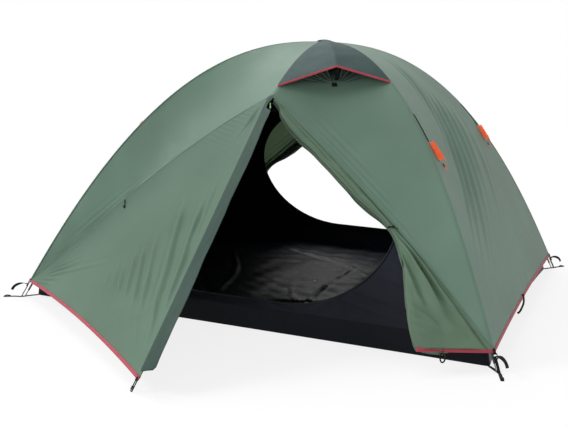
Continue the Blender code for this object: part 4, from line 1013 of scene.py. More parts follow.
for (name, turned), seed in zip(bothEnds, (0.4, 1.9)):
    grid = flapGrid(seed)
    body = f"storm_flap_{name}"
    piece = clothPiece(f"storm_flap_cloth_{name}", grid, panelNormal, slatePolyester, node=f"fly_storm_flap_{name}",
                       turned=turned, body=body, slot="slate", thickness=0.0014)
    rows = [sweep(f"storm_flap_hem_{place}_{name}", grid[1:-1, column] + panelNormal * flap["hemLift"], panelSide,
                  panelNormal, flatSection(*flap["hem"]), slatePolyester, turned=turned, body=body, slot="slate")
            for place, column in (("inner", 1), ("outer", flap["columns"] - 2))]

# Hem bindings: folded tape from a door's hem round one side to the other end's peg corner
hemTape = {"overlap": 0.002, "lean": 0.3, "probe": 0.02, "thickness": 0.0034}
tapeGap = tent["gap"] + tent["cloth"] * 0.6


def hemLine():
    # The hem's line, and the direction that its tape hangs in
    tops, downs = [], []
    doorLow = unit(hemTape["lean"] * doorNormal * turnOver - up)
    cornerDown = unit(poleLine(cornerArc + hemTape["probe"], -1, -1) - frontLeft)
    rearDown = unit(poleLine(cornerArc + hemTape["probe"], -1, 1) - frontRight * turnOver)
    doorEnd = doorEdge(1.0) * turnOver
    for share in np.linspace(0, 1, 24, endpoint=False):
        tops.append(doorEnd * (1 - share) + frontRight * turnOver * share)
        downs.append(doorLow * (1 - share) + rearDown * share)
    for share in np.linspace(1, -1, 70):
        arc = float(hemArc(share))
        half = unitY * vaultAt(arc)[0] - (sideEdge if abs(share) < 1 else 0.0)
        tops.append(sidePoint(arc, -share * half)[0] * turnOver)
        downs.append(sidePoint(arc + hemTape["probe"], -share * half)[0] * turnOver - tops[-1])
    for share in np.linspace(0, 1, 40)[1:]:
        tops.append(frontLeft + (pegCorner + panelSide * tent["zipEdge"] - frontLeft) * share + hemLift(share))
        downs.append(cornerDown * (1 - share) + panelDown * share)
    return np.array(tops), unit(np.array(downs))


hemTops, hemDowns = hemLine()
hemAlong = unit(np.gradient(hemTops, axis=0))
hemOut = unit(np.cross(hemAlong, hemDowns))
hemOut = hemOut * np.sign(np.sum(hemOut * np.array([-1.0, 0.0, 0.5]), axis=1))[:, None]
tapeWidth = tent["bindingHeight"] + tapeGap + hemTape["overlap"]
tapeMiddle = hemTops + hemDowns * (tapeGap + tent["bindingHeight"] - tapeWidth / 2)
for name, turned in (("left", False), ("right", True)):
    sweep(f"hem_binding_{name}", tapeMiddle, hemDowns, hemOut, flatSection(tapeWidth, hemTape["thickness"]),
          redGrosgrain, node=f"fly_hem_binding_{name}", turned=turned, slot="binding")

# Felled seams: narrow folded strips along the poles and round the lower seams
seamStrip = {"width": 0.010, "thickness": 0.0016, "lift": 0.0006,
             "bent": [(0.005, -0.0024), (0.0042, -0.0010), (0.0, 0.0006), (-0.0042, -0.0010), (-0.005, -0.0024),
                      (0.0, -0.0014)]}
arcs = np.linspace(tent["peakOpening"] * 1.5, cornerArc - 0.002, 120)
for corner, (signX, signY) in corners.items():
    line = np.array([poleLine(arc, signX, signY, seamStrip["lift"]) for arc in arcs])
    sideways = unit(np.array([-signY * unitY, signX * unitX, 0.0]))
    outward = upwards(crossAlong(line, sideways))
    # The strip follows the bend between the two panels it joins
    sweep(f"pole_seam_{corner}", line, sideways, outward, seamStrip["bent"], flyPolyester, slot="fly")
shares = np.linspace(0.004, 0.998, 100)
for label, corner, normal in (("fixed", frontLeft, panelNormal), ("door", frontRight, doorNormal)):
    line = np.array([seam(share, corner) for share in shares])
    for name, turned in bothEnds:
        sweep(f"lower_seam_{label}_{name}", line + normal * seamStrip["lift"], crossAlong(line, normal), normal,
              flatSection(seamStrip["width"], seamStrip["thickness"]), flyPolyester, turned=turned, slot="fly")

# Peak patch: a small cap of the hood's cloth where the four panels meet
peakPatch = {"radius": 0.034, "lift": 0.0042, "drop": 0.0052}
angle = circleOf(48)[None]
ring = np.linspace(0.02, 1, 14)[:, None]
reach = ring * peakPatch["radius"] * (1 + 0.10 * np.cos(4 * angle))
drop = peakPatch["drop"] * ring ** 2 * (1 + 0.25 * np.cos(2 * angle))
cap = stack(reach * np.cos(angle), reach * np.sin(angle), tent["height"] + peakPatch["lift"] + hood["crown"] - drop)
patch = clothPiece("peak_patch", cap, (0, 0, 1), hoodPolyester, closed=True, slot="slate")

# Zips: teeth along the fixed panel's edge, the slider and the light green puller
zipper = {"pitch": 0.0030, "rest": 0.045, "pullOffset": 0.4, "length": 0.014, "width": 0.014, "thickness": 0.008,
          "pullWidth": 0.006, "pullThickness": 0.0014, "flute": 0.0002,
          # Sizes of the small moulded blocks with their bevel; the neck's depth follows the slider's
          "tooth": (0.0040, 0.0014, 0.0019, 0.0004), "neck": (0.0045, 0.0050),
          "bridge": (0.0085, 0.0034, 0.0016, 0.0006), "teethInset": 0.020, "teethAside": 0.0016, "split": 0.0014,
          "neckAside": 0.0042,
          # The puller's half widths on the way down: an eye at the top, a waist and a fluted grip
          "pullOutline": [(0.0000, 0.0016), (0.0010, 0.0026), (0.0030, 0.0030), (0.0055, 0.0024), (0.0080, 0.0018),
                          (0.0105, 0.0022), (0.0130, 0.0029), (0.0180, 0.0030), (0.0225, 0.0026), (0.0240, 0.0012)]}


def roundedBlock(sizeX, sizeY, sizeZ, bevel, name):
    # A block with rounded edges, centred on the origin
    shape = bmesh.new()
    bmesh.ops.create_cube(shape, size=1.0)
    bmesh.ops.scale(shape, vec=(sizeX, sizeY, sizeZ), verts=shape.verts)
    bmesh.ops.bevel(shape, geom=shape.edges[:], offset=bevel, segments=3, profile=0.6, affect="EDGES")
    mesh = bpy.data.meshes.new(name)
    shape.to_mesh(mesh)
    shape.free()
    mesh.shade_smooth()
    return mesh


def joinMeshes(name, meshes):
    # Several meshes with their placings, as one
    shape = bmesh.new()
    for mesh, matrix in meshes:
        part = mesh.copy()
        part.transform(matrix)
        shape.from_mesh(part)
    made = bpy.data.meshes.new(name)
    shape.to_mesh(made)
    shape.free()
    made.shade_smooth()
    return made


def turnedMatrix(turned):
    return Matrix.Rotation(math.pi, 4, "Z") if turned else Matrix.Identity(4)


toothSide = roundedBlock(*zipper["tooth"], "tooth")
for name, turned in bothEnds:
    spin = turnedMatrix(turned)
    places = np.arange(zipper["teethInset"], zipRun - zipper["teethInset"], zipper["pitch"])
    middles = zipTop + zipDown * places[:, None] + panelSide * (tent["zipEdge"] + zipper["teethAside"]) \
        - panelNormal * (tent["cloth"] / 2)
    tooth = joinMeshes(f"zip_teeth_{name}", [(toothSide, spin @ frameAt(place, panelSide, zipDown, panelNormal))
                                             for place in middles])
    addPiece(f"zip_teeth_{name}", tooth, moulded, slot="plastic")
    centre = zipTop + zipDown * zipper["rest"] - panelNormal * tent["cloth"] / 2
    half = zipper["thickness"] / 2
    wing = roundedBlock(zipper["length"] * 0.98, zipper["width"] * 0.96, half - zipper["split"], 0.0011, "wing")
    neck = roundedBlock(*zipper["neck"], zipper["thickness"] * 0.9, 0.0009, "neck")
    bridge = roundedBlock(*zipper["bridge"], "bridge")
    slider = joinMeshes(f"zip_slider_body_{name}", [
        (part, spin @ frameAt(centre + aside, zipDown, panelSide, panelNormal)) for part, aside in (
            (wing, panelNormal * (half + zipper["split"]) / 2), (wing, -panelNormal * (half + zipper["split"]) / 2),
            (neck, -panelSide * zipper["neckAside"]), (bridge, -panelNormal * (half - 0.0002)))])
    item = addPiece(f"zip_slider_body_{name}", slider, moulded, body=f"zip_slider_{name}", slot="plastic")
    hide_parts(f"zip_slider_{name}")
    drop = half + tent["gap"] + zipper["pullThickness"] / 2 + zipper["pullWidth"] / 2 * abs(panelNormal[0])
    pivot = centre - panelNormal * drop - panelSide * zipper["width"] * zipper["pullOffset"]
    rows = []
    for down, wide in zipper["pullOutline"]:
        flute = zipper["flute"] * math.sin(down * 2600) if down > 0.012 else 0.0
        rows.append([pivot + np.array([wide * math.cos(a), (zipper["pullThickness"] / 2 + flute) * math.sin(a), -down])
                     for a in circleOf(16)])
    mesh = cappedMesh(f"zip_puller_grip_{name}", np.array(rows) * (turnOver if turned else 1.0))
    item = addPiece(f"zip_puller_grip_{name}", mesh, greenPuller, body=f"zip_puller_{name}", slot="puller")
    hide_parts(f"zip_puller_{name}")

print("tent: flaps, bindings and zips made")

# Hood struts: a stiff webbing strip with a moulded cuff, propping the brim's peak
strut = {"start": (0.21016, -0.41038, 1.04306), "along": (0.28124, -0.64901, 0.70689),
         "across": (-0.91756, -0.39761, 0.0), "width": 0.016, "thickness": 0.002,
         "cuff": (0.0172, 0.0026), "cuffShares": (0.42, 0.46, 0.60, 0.64)}
strutStart, strutAlong, strutAcross = (np.array(strut[key]) for key in ("start", "along", "across"))
strutFace = np.cross(strutAcross, strutAlong)
strutCorners = np.array([v.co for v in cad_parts["hood_strut_front"].data.vertices])
strutLength = float(((strutCorners - strutStart) @ strutAlong).max())
for name, turned in bothEnds:
    body = f"hood_strut_{name}"
    ends = [strutStart + strutAlong * share * strutLength for share in np.linspace(0.0, 1.0, 24)]
    sweep(f"hood_strut_webbing_{name}", ends, strutAcross, strutFace, flatSection(strut["width"], strut["thickness"]),
          blackWebbing, node=f"hood_strut_{name}", turned=turned, body=body, slot="webbing")
    pads = [strutStart + strutAlong * share * strutLength for share in strut["cuffShares"]]
    sweep(f"hood_strut_cuff_{name}", pads, strutAcross, strutFace, flatSection(*strut["cuff"]), moulded,
          turned=turned, body=body, slot="plastic")

# Door toggles and the elastic that goes round the gathered cloth
toggle = {"length": 0.032, "diameter": 0.008, "waist": 0.6, "place": 0.75, "lean": 0.4, "clearance": 0.0003,
          "elastic": 0.0013, "loopBehind": 0.0165, "loopBefore": 0.0042, "loopSlack": 0.003}


def lathe(name, stations, frameMatrix, material, count=24, **riding):
    # A turned piece from (along, radius) stations
    rows = [[(along, radius * math.cos(a), radius * math.sin(a)) for a in circleOf(count)]
            for along, radius in stations]
    mesh = cappedMesh(name, np.array(rows))
    mesh.transform(frameMatrix)
    return addPiece(name, mesh, material, **riding)


tiePoint = seam(door["tiePlace"], frontRight) * (1 - toggle["place"]) + doorEdge(door["tiePlace"]) * toggle["place"] \
    + doorNormal * (toggle["diameter"] / 2 + toggle["clearance"])
toggleAlong = unit(doorAcross - toggle["lean"] * doorAlong)
for name, turned in bothEnds:
    spin = turnedMatrix(turned)
    half, radius = toggle["length"] / 2, toggle["diameter"] / 2
    stations = [(-half, 0.0006), (-half * 0.99, radius * 0.45), (-half * 0.93, radius * 0.80), (-half * 0.80, radius),
                (-half * 0.55, radius * 0.98), (-half * 0.28, radius * 0.85), (-half * 0.1, radius * 0.62)]
    stations = stations + [(0.0, radius * toggle["waist"])] + [(-a, b) for a, b in reversed(stations)]
    barFrame = frameAt(tiePoint, toggleAlong, np.cross(doorNormal, toggleAlong), doorNormal)
    item = lathe(f"door_toggle_bar_{name}", stations, spin @ barFrame, moulded, body=f"door_toggle_{name}",
                 slot="plastic")
    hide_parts(f"door_toggle_{name}")
    # The loop: over the toggle's waist and round behind the folds
    share = door["tiePlace"]
    width = float(doorWidth(share))
    start, edge = seam(share, frontRight), doorEdge(share)
    across = unit(edge - start)
    middle = (start + edge) / 2
    angle = circleOf(72)
    flat = np.sign(np.cos(angle)) * np.abs(np.cos(angle)) ** 0.6
    deep = np.sign(np.sin(angle)) * np.abs(np.sin(angle)) ** 0.8
    loop = [middle + across * (width / 2 + toggle["loopSlack"]) * f + doorNormal * (
        toggle["loopBefore"] * max(d, 0) + toggle["loopBehind"] * min(d, 0) - 0.0005) for f, d in zip(flat, deep)]
    cordPiece(f"door_tie_elastic_{name}", loop, toggle["elastic"], blackBraid, closed=True, turned=turned,
              slot="webbing")

# Peg loops: an elastic cord through a webbing tab at the peg corner, knotted at its foot
pegLoop = {"cord": 0.0035, "width": 0.014, "reach": 0.020, "knotSize": (0.0024, 0.0026), "knotRise": (0.0, 0.0018),
           "knotPlace": 0.0115, "tab": (0.0110, 0.0012)}
elasticRadius = pegLoop["cord"] / 2
hemAlongFront = unit(pegCorner - frontLeft)
hemSide = unit(np.array([hemAlongFront[1], -hemAlongFront[0], 0.0]))
tapeEnd = hemTops[-1] + hemDowns[-1] * (tapeGap + tent["bindingHeight"] + tent["gap"] + elasticRadius)
loopTop = tapeEnd - hemAlongFront * pegLoop["width"] / 2
loopFoot = loopTop + hemSide * pegLoop["reach"]
loopFoot[2] = elasticRadius
loopDown = unit(loopFoot - loopTop)
loopHalf = pegLoop["width"] / 2 - elasticRadius
for name, turned in bothEnds:
    points = []
    for k in range(10):
        angle = math.pi * (k if k < 5 else k - 1) / 4
        centre = loopTop + loopDown * loopHalf if k < 5 else loopFoot - loopDown * loopHalf
        points.append(centre + loopHalf * (hemAlongFront * math.cos(angle) - loopDown * math.sin(angle)))
    cordPiece(f"peg_loop_elastic_{name}", throughPoints(points, 72, closed=True), elasticRadius * 1.15, blackBraid,
              closed=True, node=f"peg_loop_{name}", turned=turned, body=f"peg_loop_{name}", slot="webbing")
    knotAt = loopFoot - loopDown * pegLoop["knotPlace"] + hemAlongFront * (-loopHalf)
    trefoil = trefoilKnot(knotAt, hemAlongFront, loopDown, np.cross(loopDown, hemAlongFront), pegLoop["knotSize"],
                          pegLoop["knotRise"], 48)
    cordPiece(f"peg_loop_knot_{name}", trefoil, elasticRadius, blackBraid, closed=True, turned=turned,
              body=f"peg_loop_{name}", slot="webbing")
    tabTop = hemTops[-1] - hemAlongFront * 0.009 + hemDowns[-1] * 0.004
    tab = [tabTop + panelNormal * 0.0030, tabTop + hemDowns[-1] * 0.009 + panelNormal * 0.0032,
           tapeEnd - hemAlongFront * 0.008 + hemDowns[-1] * 0.0030 + panelNormal * 0.0008,
           tabTop + hemDowns[-1] * 0.009 - panelNormal * 0.0038, tabTop - panelNormal * 0.0036]
    tab = throughPoints(tab, 26)
    sweep(f"peg_tab_webbing_{name}", tab, hemAlongFront, crossAlong(tab, hemAlongFront),
          flatSection(*pegLoop["tab"]), blackWebbing, turned=turned, slot="webbing")

print("tent: struts, toggles and peg loops made")

# Corner straps: from the inner tent's corner past the pole foot to the peg tab, and up through the buckle
buckleArc = cornerArc + tapeGap + tent["bindingHeight"] + 2 * tent["gap"] + buckle["bar"] / 2
buckleR, buckleZ, buckleOutR, buckleOutZ = (float(value) for value in vaultAt(buckleArc))
buckleOut, buckleDown = np.array([buckleOutR, buckleOutZ]), np.array([buckleOutZ, -buckleOutR])
strapLift = buckle["thickness"] / 2 + tent["gap"] + straps["thickness"] / 2
floor = {"endMargin": 0.050, "sideMargin": 0.065, "wall": 0.100, "bow": 0.030, "sill": 0.0010, "base": 0.0012,
         # Each crease: its line's direction, its distance from the middle, its width and its height
         "creases": [(0.94, 0.34, -0.45, 0.012, 0.011), (0.82, -0.57, 0.52, 0.014, 0.010),
                     (0.99, 0.10, 0.10, 0.010, 0.008), (0.60, 0.80, 0.30, 0.013, 0.009),
                     (0.75, 0.66, -0.62, 0.015, 0.012), (-0.42, 0.91, -0.38, 0.012, 0.009),
                     (0.30, 0.95, 0.55, 0.014, 0.009), (0.88, 0.47, -0.12, 0.011, 0.008)]}
floorLength, floorWidth = tent["footSpanX"] - 2 * floor["endMargin"], tent["footSpanY"] - 2 * floor["sideMargin"]


def buckleSpot(down, out):
    return np.array([buckleR, buckleZ]) + buckleDown * down + buckleOut * out


def strapProfile():
    # The strap's middle line from the ground, behind the buckle's bar and through its window
    window = buckle["height"] / 2 - buckle["bar"] / 2
    reach = (buckleSpot(0.0, -strapLift)[1] - straps["thickness"] / 2) / buckleOutR
    line = [buckleSpot(reach, -strapLift), buckleSpot(reach / 2, -strapLift), buckleSpot(window + 0.006, -strapLift),
            buckleSpot(window + 0.0022, -strapLift), buckleSpot(window, -strapLift + 0.0022),
            buckleSpot(window, 0.004)]
    heading = math.atan2(buckleOutZ, buckleOutR)
    for _ in range(8):
        heading -= straps["tailBend"] / 8
        line.append(line[-1] + straps["tail"] / 8 * np.array([math.cos(heading), math.sin(heading)]))
    return line


def roundedFrame(width, height, thickness, bar, name):
    # A moulded frame with one window and rounded edges
    shape = bmesh.new()

    def outline(halfWidth, halfHeight, radius):
        points = []
        for signX, signY, first in ((1, 1, 0), (-1, 1, 90), (-1, -1, 180), (1, -1, 270)):
            for k in range(6):
                a = math.radians(first + 18 * k)
                points.append((signX * (halfWidth - radius) + radius * math.cos(a),
                               signY * (halfHeight - radius) + radius * math.sin(a)))
        return points

    rings = []
    edge = buckle["edge"]
    for z, grow in ((-thickness / 2, -edge), (-thickness / 2 + edge, 0.0), (thickness / 2 - edge, 0.0),
                    (thickness / 2, -edge)):
        outer = outline(width / 2 + grow, height / 2 + grow, buckle["cornerRadius"])
        inner = outline(width / 2 - bar - grow, height / 2 - bar - grow, buckle["windowRadius"])
        rings.append(([shape.verts.new((x, y, z)) for x, y in outer], [shape.verts.new((x, y, z)) for x, y in inner]))
    count = len(rings[0][0])
    for k in range(count):
        j = (k + 1) % count
        for lower, upper in zip(rings[:-1], rings[1:]):
            shape.faces.new((lower[0][k], lower[0][j], upper[0][j], upper[0][k]))
            shape.faces.new((lower[1][j], lower[1][k], upper[1][k], upper[1][j]))
        shape.faces.new((rings[-1][0][k], rings[-1][0][j], rings[-1][1][j], rings[-1][1][k]))
        shape.faces.new((rings[0][0][j], rings[0][0][k], rings[0][1][k], rings[0][1][j]))
    bmesh.ops.recalc_face_normals(shape, faces=shape.faces)
    mesh = bpy.data.meshes.new(name)
    shape.to_mesh(mesh)
    shape.free()
    mesh.shade_smooth()
    return mesh


strapSection = flatSection(straps["drawnWidth"], straps["drawnThickness"])
strapLine = np.array(strapProfile())
strapFoot = strapLine[0][0]
frameMesh = roundedFrame(buckle["width"], buckle["height"], buckle["thickness"], buckle["bar"], "buckleFrame")
ladderBar = roundedBlock(buckle["width"] * 0.8, *buckle["ladder"], "ladderBar")
for corner, (signX, signY) in corners.items():
    angle = math.atan2(signY * unitY, signX * unitX)
    swung = angle + math.radians(straps["swing"][corner])
    out, tabOut = (np.array([math.cos(a), math.sin(a), 0.0]) for a in (angle, swung))
    sideways, tabSide = np.array([-out[1], out[0], 0.0]), np.array([-tabOut[1], tabOut[0], 0.0])
    # The riser and its free tail
    line = out * strapLine[:, :1] + up * strapLine[:, 1:]
    line = np.vstack([throughPoints(line[:6], 26)[:-1], throughPoints(line[5:], 26)])
    tangent = unit(np.gradient(line, axis=0))
    curl = straps["curl"] * ease(np.linspace(0, 1, len(line)), 0.55, 1.0)[:, None]
    # The free tail twists as it hangs
    twist = straps["twist"] * ease(np.linspace(0, 1, len(line)), 0.50, 0.80)[:, None]
    flatway = unit(np.cross(tangent, sideways))
    wide = sideways * np.cos(twist) + flatway * np.sin(twist)
    sweep(f"corner_strap_riser_{corner}", line + up * curl * np.sin(np.linspace(0, 9, len(line)))[:, None] * 0.5,
          wide, unit(np.cross(tangent, wide)), strapSection, blackWebbing,
          node=f"corner_strap_{corner}", slot="webbing")
    # The run on the ground, out to the peg tab with its folded loop
    trayCorner = np.array([signX * floorLength / 2, signY * floorWidth / 2, 0.0])
    run = out * strapFoot - trayCorner
    runSide = unit(np.array([-run[1], run[0], 0.0]))
    level = up * straps["thickness"] / 2
    runs = [trayCorner + unit(run) * 0.001 + level, trayCorner + run / 2 + level + up * 0.0004,
            out * strapFoot + level, out * strapFoot + tabOut * 0.03 + level + up * 0.001,
            out * strapFoot + tabOut * straps["tab"] + level]
    runs = throughPoints(runs, 60)
    share = ease(np.linalg.norm(runs - trayCorner, axis=1) / np.linalg.norm(run), 0.85, 1.25)[:, None]
    sides = unit(runSide * (1 - share) + tabSide * share)
    sweep(f"corner_strap_ground_{corner}", runs + up * straps["groundLift"], sides, up, strapSection, blackWebbing,
          slot="webbing")
    # The peg loop's folded end, stitched down on itself
    fold = [out * strapFoot + tabOut * (straps["tab"] - straps["foldInset"] - straps["foldLength"] * t) + up * (
        straps["foldLift"] + straps["foldBulge"] * math.sin(math.pi * t)) for t in np.linspace(0, 1, 20)]
    sweep(f"corner_peg_loop_{corner}", fold, tabSide, up, strapSection, blackWebbing, slot="webbing")
    origin = out * buckleR + up * buckleZ
    down3 = out * buckleDown[0] + up * buckleDown[1]
    face3 = np.cross(sideways, down3)
    middle = origin + down3 * (buckle["height"] - buckle["bar"]) / 2
    barDown, barOut = buckle["ladderPlace"]
    barAt = middle + down3 * barDown + face3 * np.sign(np.dot(face3, out)) * barOut
    made = joinMeshes(f"ladder_buckle_{corner}", [
        (part, frameAt(place, sideways, down3, face3)) for part, place in ((frameMesh, middle), (ladderBar, barAt))])
    item = addPiece(f"ladder_buckle_{corner}", made, moulded, body=f"buckle_{corner}", slot="plastic")
    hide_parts(f"strap_buckle_{corner}")
    # Webbing that holds the buckle's top bar to the hem
    hug = throughPoints([origin + down3 * below + face3 * aside for below, aside in buckle["loopLine"]], 30)
    sweep(f"buckle_loop_{corner}", hug, sideways, crossAlong(hug, sideways), flatSection(*buckle["loop"]),
          blackWebbing, slot="webbing")

print("tent: corner straps made")

# Poles: glass fibre rods, steel ferrules and nylon tips, crossing at the peak
inset = (tent["cloth"] + poles["ferrule"] / 2 + poles["clearance"]) / min(unitX, unitY)
crownDip = poles["diameter"] + 2 * tent["gap"]


def polePath(dip):
    drop = inset + dip * np.exp(-((vaultR / poles["crownReach"]) ** 2))
    r, z = vaultR - normalR * drop, vaultZ - normalZ * drop
    rest = straps["thickness"] + tent["gap"] + poles["pin"] / 2 * normalZ[-2]
    keep = (z > rest) & (r > 0)
    r, z = np.concatenate([[0.0], r[keep]]), np.concatenate([[z[0]], z[keep]])
    return np.concatenate([-r[:0:-1], r]), np.concatenate([z[:0:-1], z])


for label, dip, signY in (("upper", 0.0, -1), ("lower", crownDip, 1)):
    r, z = polePath(dip)
    arc = runLengths(r, z)
    section = arc[-1] / poles["sections"]
    for number in range(poles["sections"]):
        first, last = number == 0, number == poles["sections"] - 1
        start = number * section + (0.0 if first else poles["sectionGap"] / 2)
        end = (number + 1) * section - (0.0 if last else poles["sectionGap"] / 2)
        pinEnds = (start, start + poles["pinLength"] * 0.96) if first else ()
        stations = [(place, poles["pin"] / 2) for place in pinEnds]
        begin = start + (poles["pinLength"] if first else 0.0)
        finishRod = end - (poles["pinLength"] if last else poles["ferruleLength"])
        stations += [(place, poles["diameter"] / 2) for place in np.linspace(begin, finishRod, 26)]
        tip = poles["pin"] / 2 if last else poles["ferrule"] / 2
        stations += [(finishRod + 0.0008, tip), (finishRod + 0.5 * (end - finishRod), tip), (end, tip)]
        centres = np.array([(unitX * np.interp(s, arc, r), signY * unitY * np.interp(s, arc, r), np.interp(s, arc, z))
                            for s, _ in stations])
        tangent = unit(np.gradient(centres, axis=0))
        aside = unit(np.cross(tangent, np.array([-signY * unitY, unitX, 0.0])))
        other = np.cross(tangent, aside)
        rows = np.array([[c + radius * (a * math.cos(w) + b * math.sin(w)) for w in circleOf(poles["around"])]
                         for c, a, b, (_, radius) in zip(centres, aside, other, stations)])
        name = f"pole_{label}_{number + 1}"
        mesh = cappedMesh(name, rows)
        fittings = [glassFibre, greyNylon if first or last else zincSteel, zincSteel]
        item = addPiece(name, mesh, fittings, slot="pole")
        for poly in mesh.polygons:
            ring = poly.index // poles["around"]
            if ring >= len(stations) - 3 and ring < len(stations) - 1:
                poly.material_index = 1 if last else 2
            elif first and ring < 2:
                poly.material_index = 1
        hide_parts(f"pole_{label}_section_{number + 1}")

print("tent: poles made")

# Inner tent: hung just inside the poles, with a D-shaped doorway at each end
inner = {"clearance": 0.0015, "sag": 0.020, "doorHalf": 0.618, "doorSill": 0.130, "doorTop": 0.900,
         "doorCorner": (0.440, 0.360), "centre": 0.42, "rings": 40, "angles": 420, "foldLimits": (-0.002, 0.008),
         "wrinkles": [(0.20, 0.25, 0.98, 0.10, 0.009, 0.0050), (0.42, 0.30, 1.00, 0.16, 0.010, 0.0046),
                      (0.55, 0.38, 0.98, 0.22, 0.009, 0.0042), (0.62, 0.46, 0.96, 0.31, 0.010, 0.0040),
                      (0.30, 0.19, 0.80, 0.08, 0.008, 0.0040), (-0.20, 0.21, 0.35, 0.08, 0.009, 0.0040),
                      (-0.60, 0.22, -0.10, 0.08, 0.010, 0.0036), (0.66, 0.58, 0.93, 0.40, 0.010, 0.0036),
                      (-0.62, 0.50, -0.98, 0.30, 0.010, 0.0040), (-0.60, 0.34, -1.00, 0.16, 0.010, 0.0044)]}
innerInset = inset + crownDip + poles["diameter"] / 2 + inner["clearance"]
innerR, innerZ = vaultR - normalR * innerInset, vaultZ - normalZ * innerInset
innerArc = runLengths(innerR, innerZ)


def innerArcAt(height):
    return np.interp(-np.asarray(height), -innerZ, innerArc)


sillArc = float(innerArcAt(floor["wall"] + floor["sill"]))


def innerRadiusAt(height):
    return np.interp(innerArcAt(height), innerArc, innerR)


def doorOutline(points=14):
    half, (wide, high) = inner["doorHalf"], inner["doorCorner"]
    low = inner["doorSill"] + high
    turns = np.linspace(0, math.pi / 2, points + 1)
    left = [(-half + wide - wide * math.cos(a), low - high * math.sin(a)) for a in turns]
    right = [(half - wide + wide * math.sin(a), low - high * math.cos(a)) for a in turns]
    top = [(half * math.cos(a), low + (inner["doorTop"] - low) * math.sin(a))
           for a in np.linspace(0, math.pi, 4 * points)[1:-1]]
    return np.array(left + right + top)


def polarRadius(outline, angles):
    # The distance from the doorway's middle to a closed outline, in each direction
    loop = np.vstack([outline, outline[:1]])
    steps = np.linspace(0, 1, 40, endpoint=False)[:, None]
    dense = np.vstack([a + (b - a) * steps for a, b in zip(loop[:-1], loop[1:])])
    x, z = dense[:, 0], dense[:, 1] - inner["centre"]
    found = np.arctan2(z, x)
    order = np.argsort(found)
    return np.interp(angles, found[order], np.hypot(x, z)[order], period=2 * math.pi)


def innerFront(seed):
    heights = np.linspace(floor["wall"] + floor["sill"], float(np.interp(0.012, innerArc, innerZ)), 90)
    edge = unitX * innerRadiusAt(heights) - faceEdge
    outline = np.vstack([np.stack([edge, heights], axis=1), np.stack([-edge[::-1], heights[::-1]], axis=1)])
    low = heights[0] - inner["centre"]
    cornersAt = [math.atan2(low, edge[0]), math.atan2(low, -edge[0])]
    angles = np.sort(np.concatenate([np.linspace(-math.pi, math.pi, inner["angles"], endpoint=False), cornersAt]))
    near, far = polarRadius(doorOutline(), angles), polarRadius(outline, angles)
    ring = np.linspace(0, 1, inner["rings"])[:, None]
    reach = near + (far - near) * ring
    x, z = reach * np.cos(angles), inner["centre"] + reach * np.sin(angles)
    arc = innerArcAt(z)
    radius = np.interp(arc, innerArc, innerR)
    share = np.clip(x / np.maximum(unitX * radius - faceEdge, 1e-6), -1, 1)
    t = (arc - tent["peakOpening"]) / (sillArc - tent["peakOpening"])
    y = -unitY * radius + inner["sag"] * (1 - share ** 2) * np.sin(math.pi * np.clip(t, 0, 1))
    # Slack folds towards the lower corners and along the sill
    fold = lineFolds(x, z, inner["wrinkles"]) + 0.0022 * softNoise(x, z, 0.16, seed)
    fold = fold + 0.0012 * softNoise(x, z, 0.06, seed + 2)
    fold = np.clip(fold, *inner["foldLimits"]) * between(ring, 0.0, 1.0, 0.10, 0.10) * ease(z - heights[0], 0.0, 0.03)
    return stack(x, y + fold, z)


def innerSide(seed):
    t = np.linspace(0, 1, 70)[:, None]
    share = np.linspace(-1, 1, 60)[None]
    arc = tent["peakOpening"] + (sillArc - tent["peakOpening"]) * t
    radius, z = np.interp(arc, innerArc, innerR), np.interp(arc, innerArc, innerZ)
    y = share * (unitY * radius - sideEdge)
    sag = (0.010 + 0.004 * softNoise(y, arc, 0.25, seed)) * (1 - share ** 2) * np.sin(math.pi * t)
    return stack(unitX * radius - sag, y, z)


for (name, turned), seed in zip(bothEnds, (21, 27)):
    grid = innerFront(seed)
    piece = clothPiece(f"inner_{name}", grid, (0.0, -1.0, 0.4), innerTaffeta, node=f"inner_wall_{name}", turned=turned,
                       closed=True, slot="inner", thickness=0.0010)
    piping = cordPiece(f"inner_door_zip_{name}", grid[0] - np.array([0.0, 0.0012, 0.0]), 0.0032, moulded, closed=True,
                       turned=turned, slot="inner")
for (name, turned), seed in zip(bothSides, (31, 37)):
    piece = clothPiece(f"inner_{name}", innerSide(seed), (1.0, 0.0, 0.4), innerTaffeta, node=f"inner_wall_{name}",
                       turned=turned, slot="inner", thickness=0.0010)

# Groundsheet: a tray with raised sides, its floor creased from packing
rimR = float(innerRadiusAt(floor["wall"]))
rounds = []
steps = np.linspace(-1, 1, 60, endpoint=False)
for sign in (1, -1):
    for share in sign * steps:
        bow = floor["bow"] * (1 - share * share)
        rounds.append(((sign * (floorLength / 2 - bow), share * floorWidth / 2),
                       (sign * unitX * rimR, share * unitY * rimR)))
    for share in sign * steps:
        rounds.append(((-share * floorLength / 2, sign * floorWidth / 2), (-share * unitX * rimR, sign * unitY * rimR)))
low, high = (np.array([pair[k] for pair in rounds]) for k in (0, 1))
rows = []
for share in np.linspace(0.004, 1, 90):
    x, y = (low * share).T
    lift = 0.0035 + 0.0030 * softNoise(x, y, 0.45, 41) + 0.0022 * softNoise(x, y, 0.12, 43)
    # Creases: radiating ones by the doors and the straight folds of packing
    for a, b, offset, width, height in floor["creases"]:
        lift = lift + height * creaseShape(a * x + b * y - offset + 0.03 * np.sin(4 * (x - y)), width) * (
            0.5 + 0.5 * np.sin(2.4 * (b * x - a * y) + 9 * offset))
    lift = np.maximum(lift, 0.0) * ease(1 - share, 0.0, 0.05)
    rows.append(np.stack([x, y, floor["base"] + lift], axis=1))
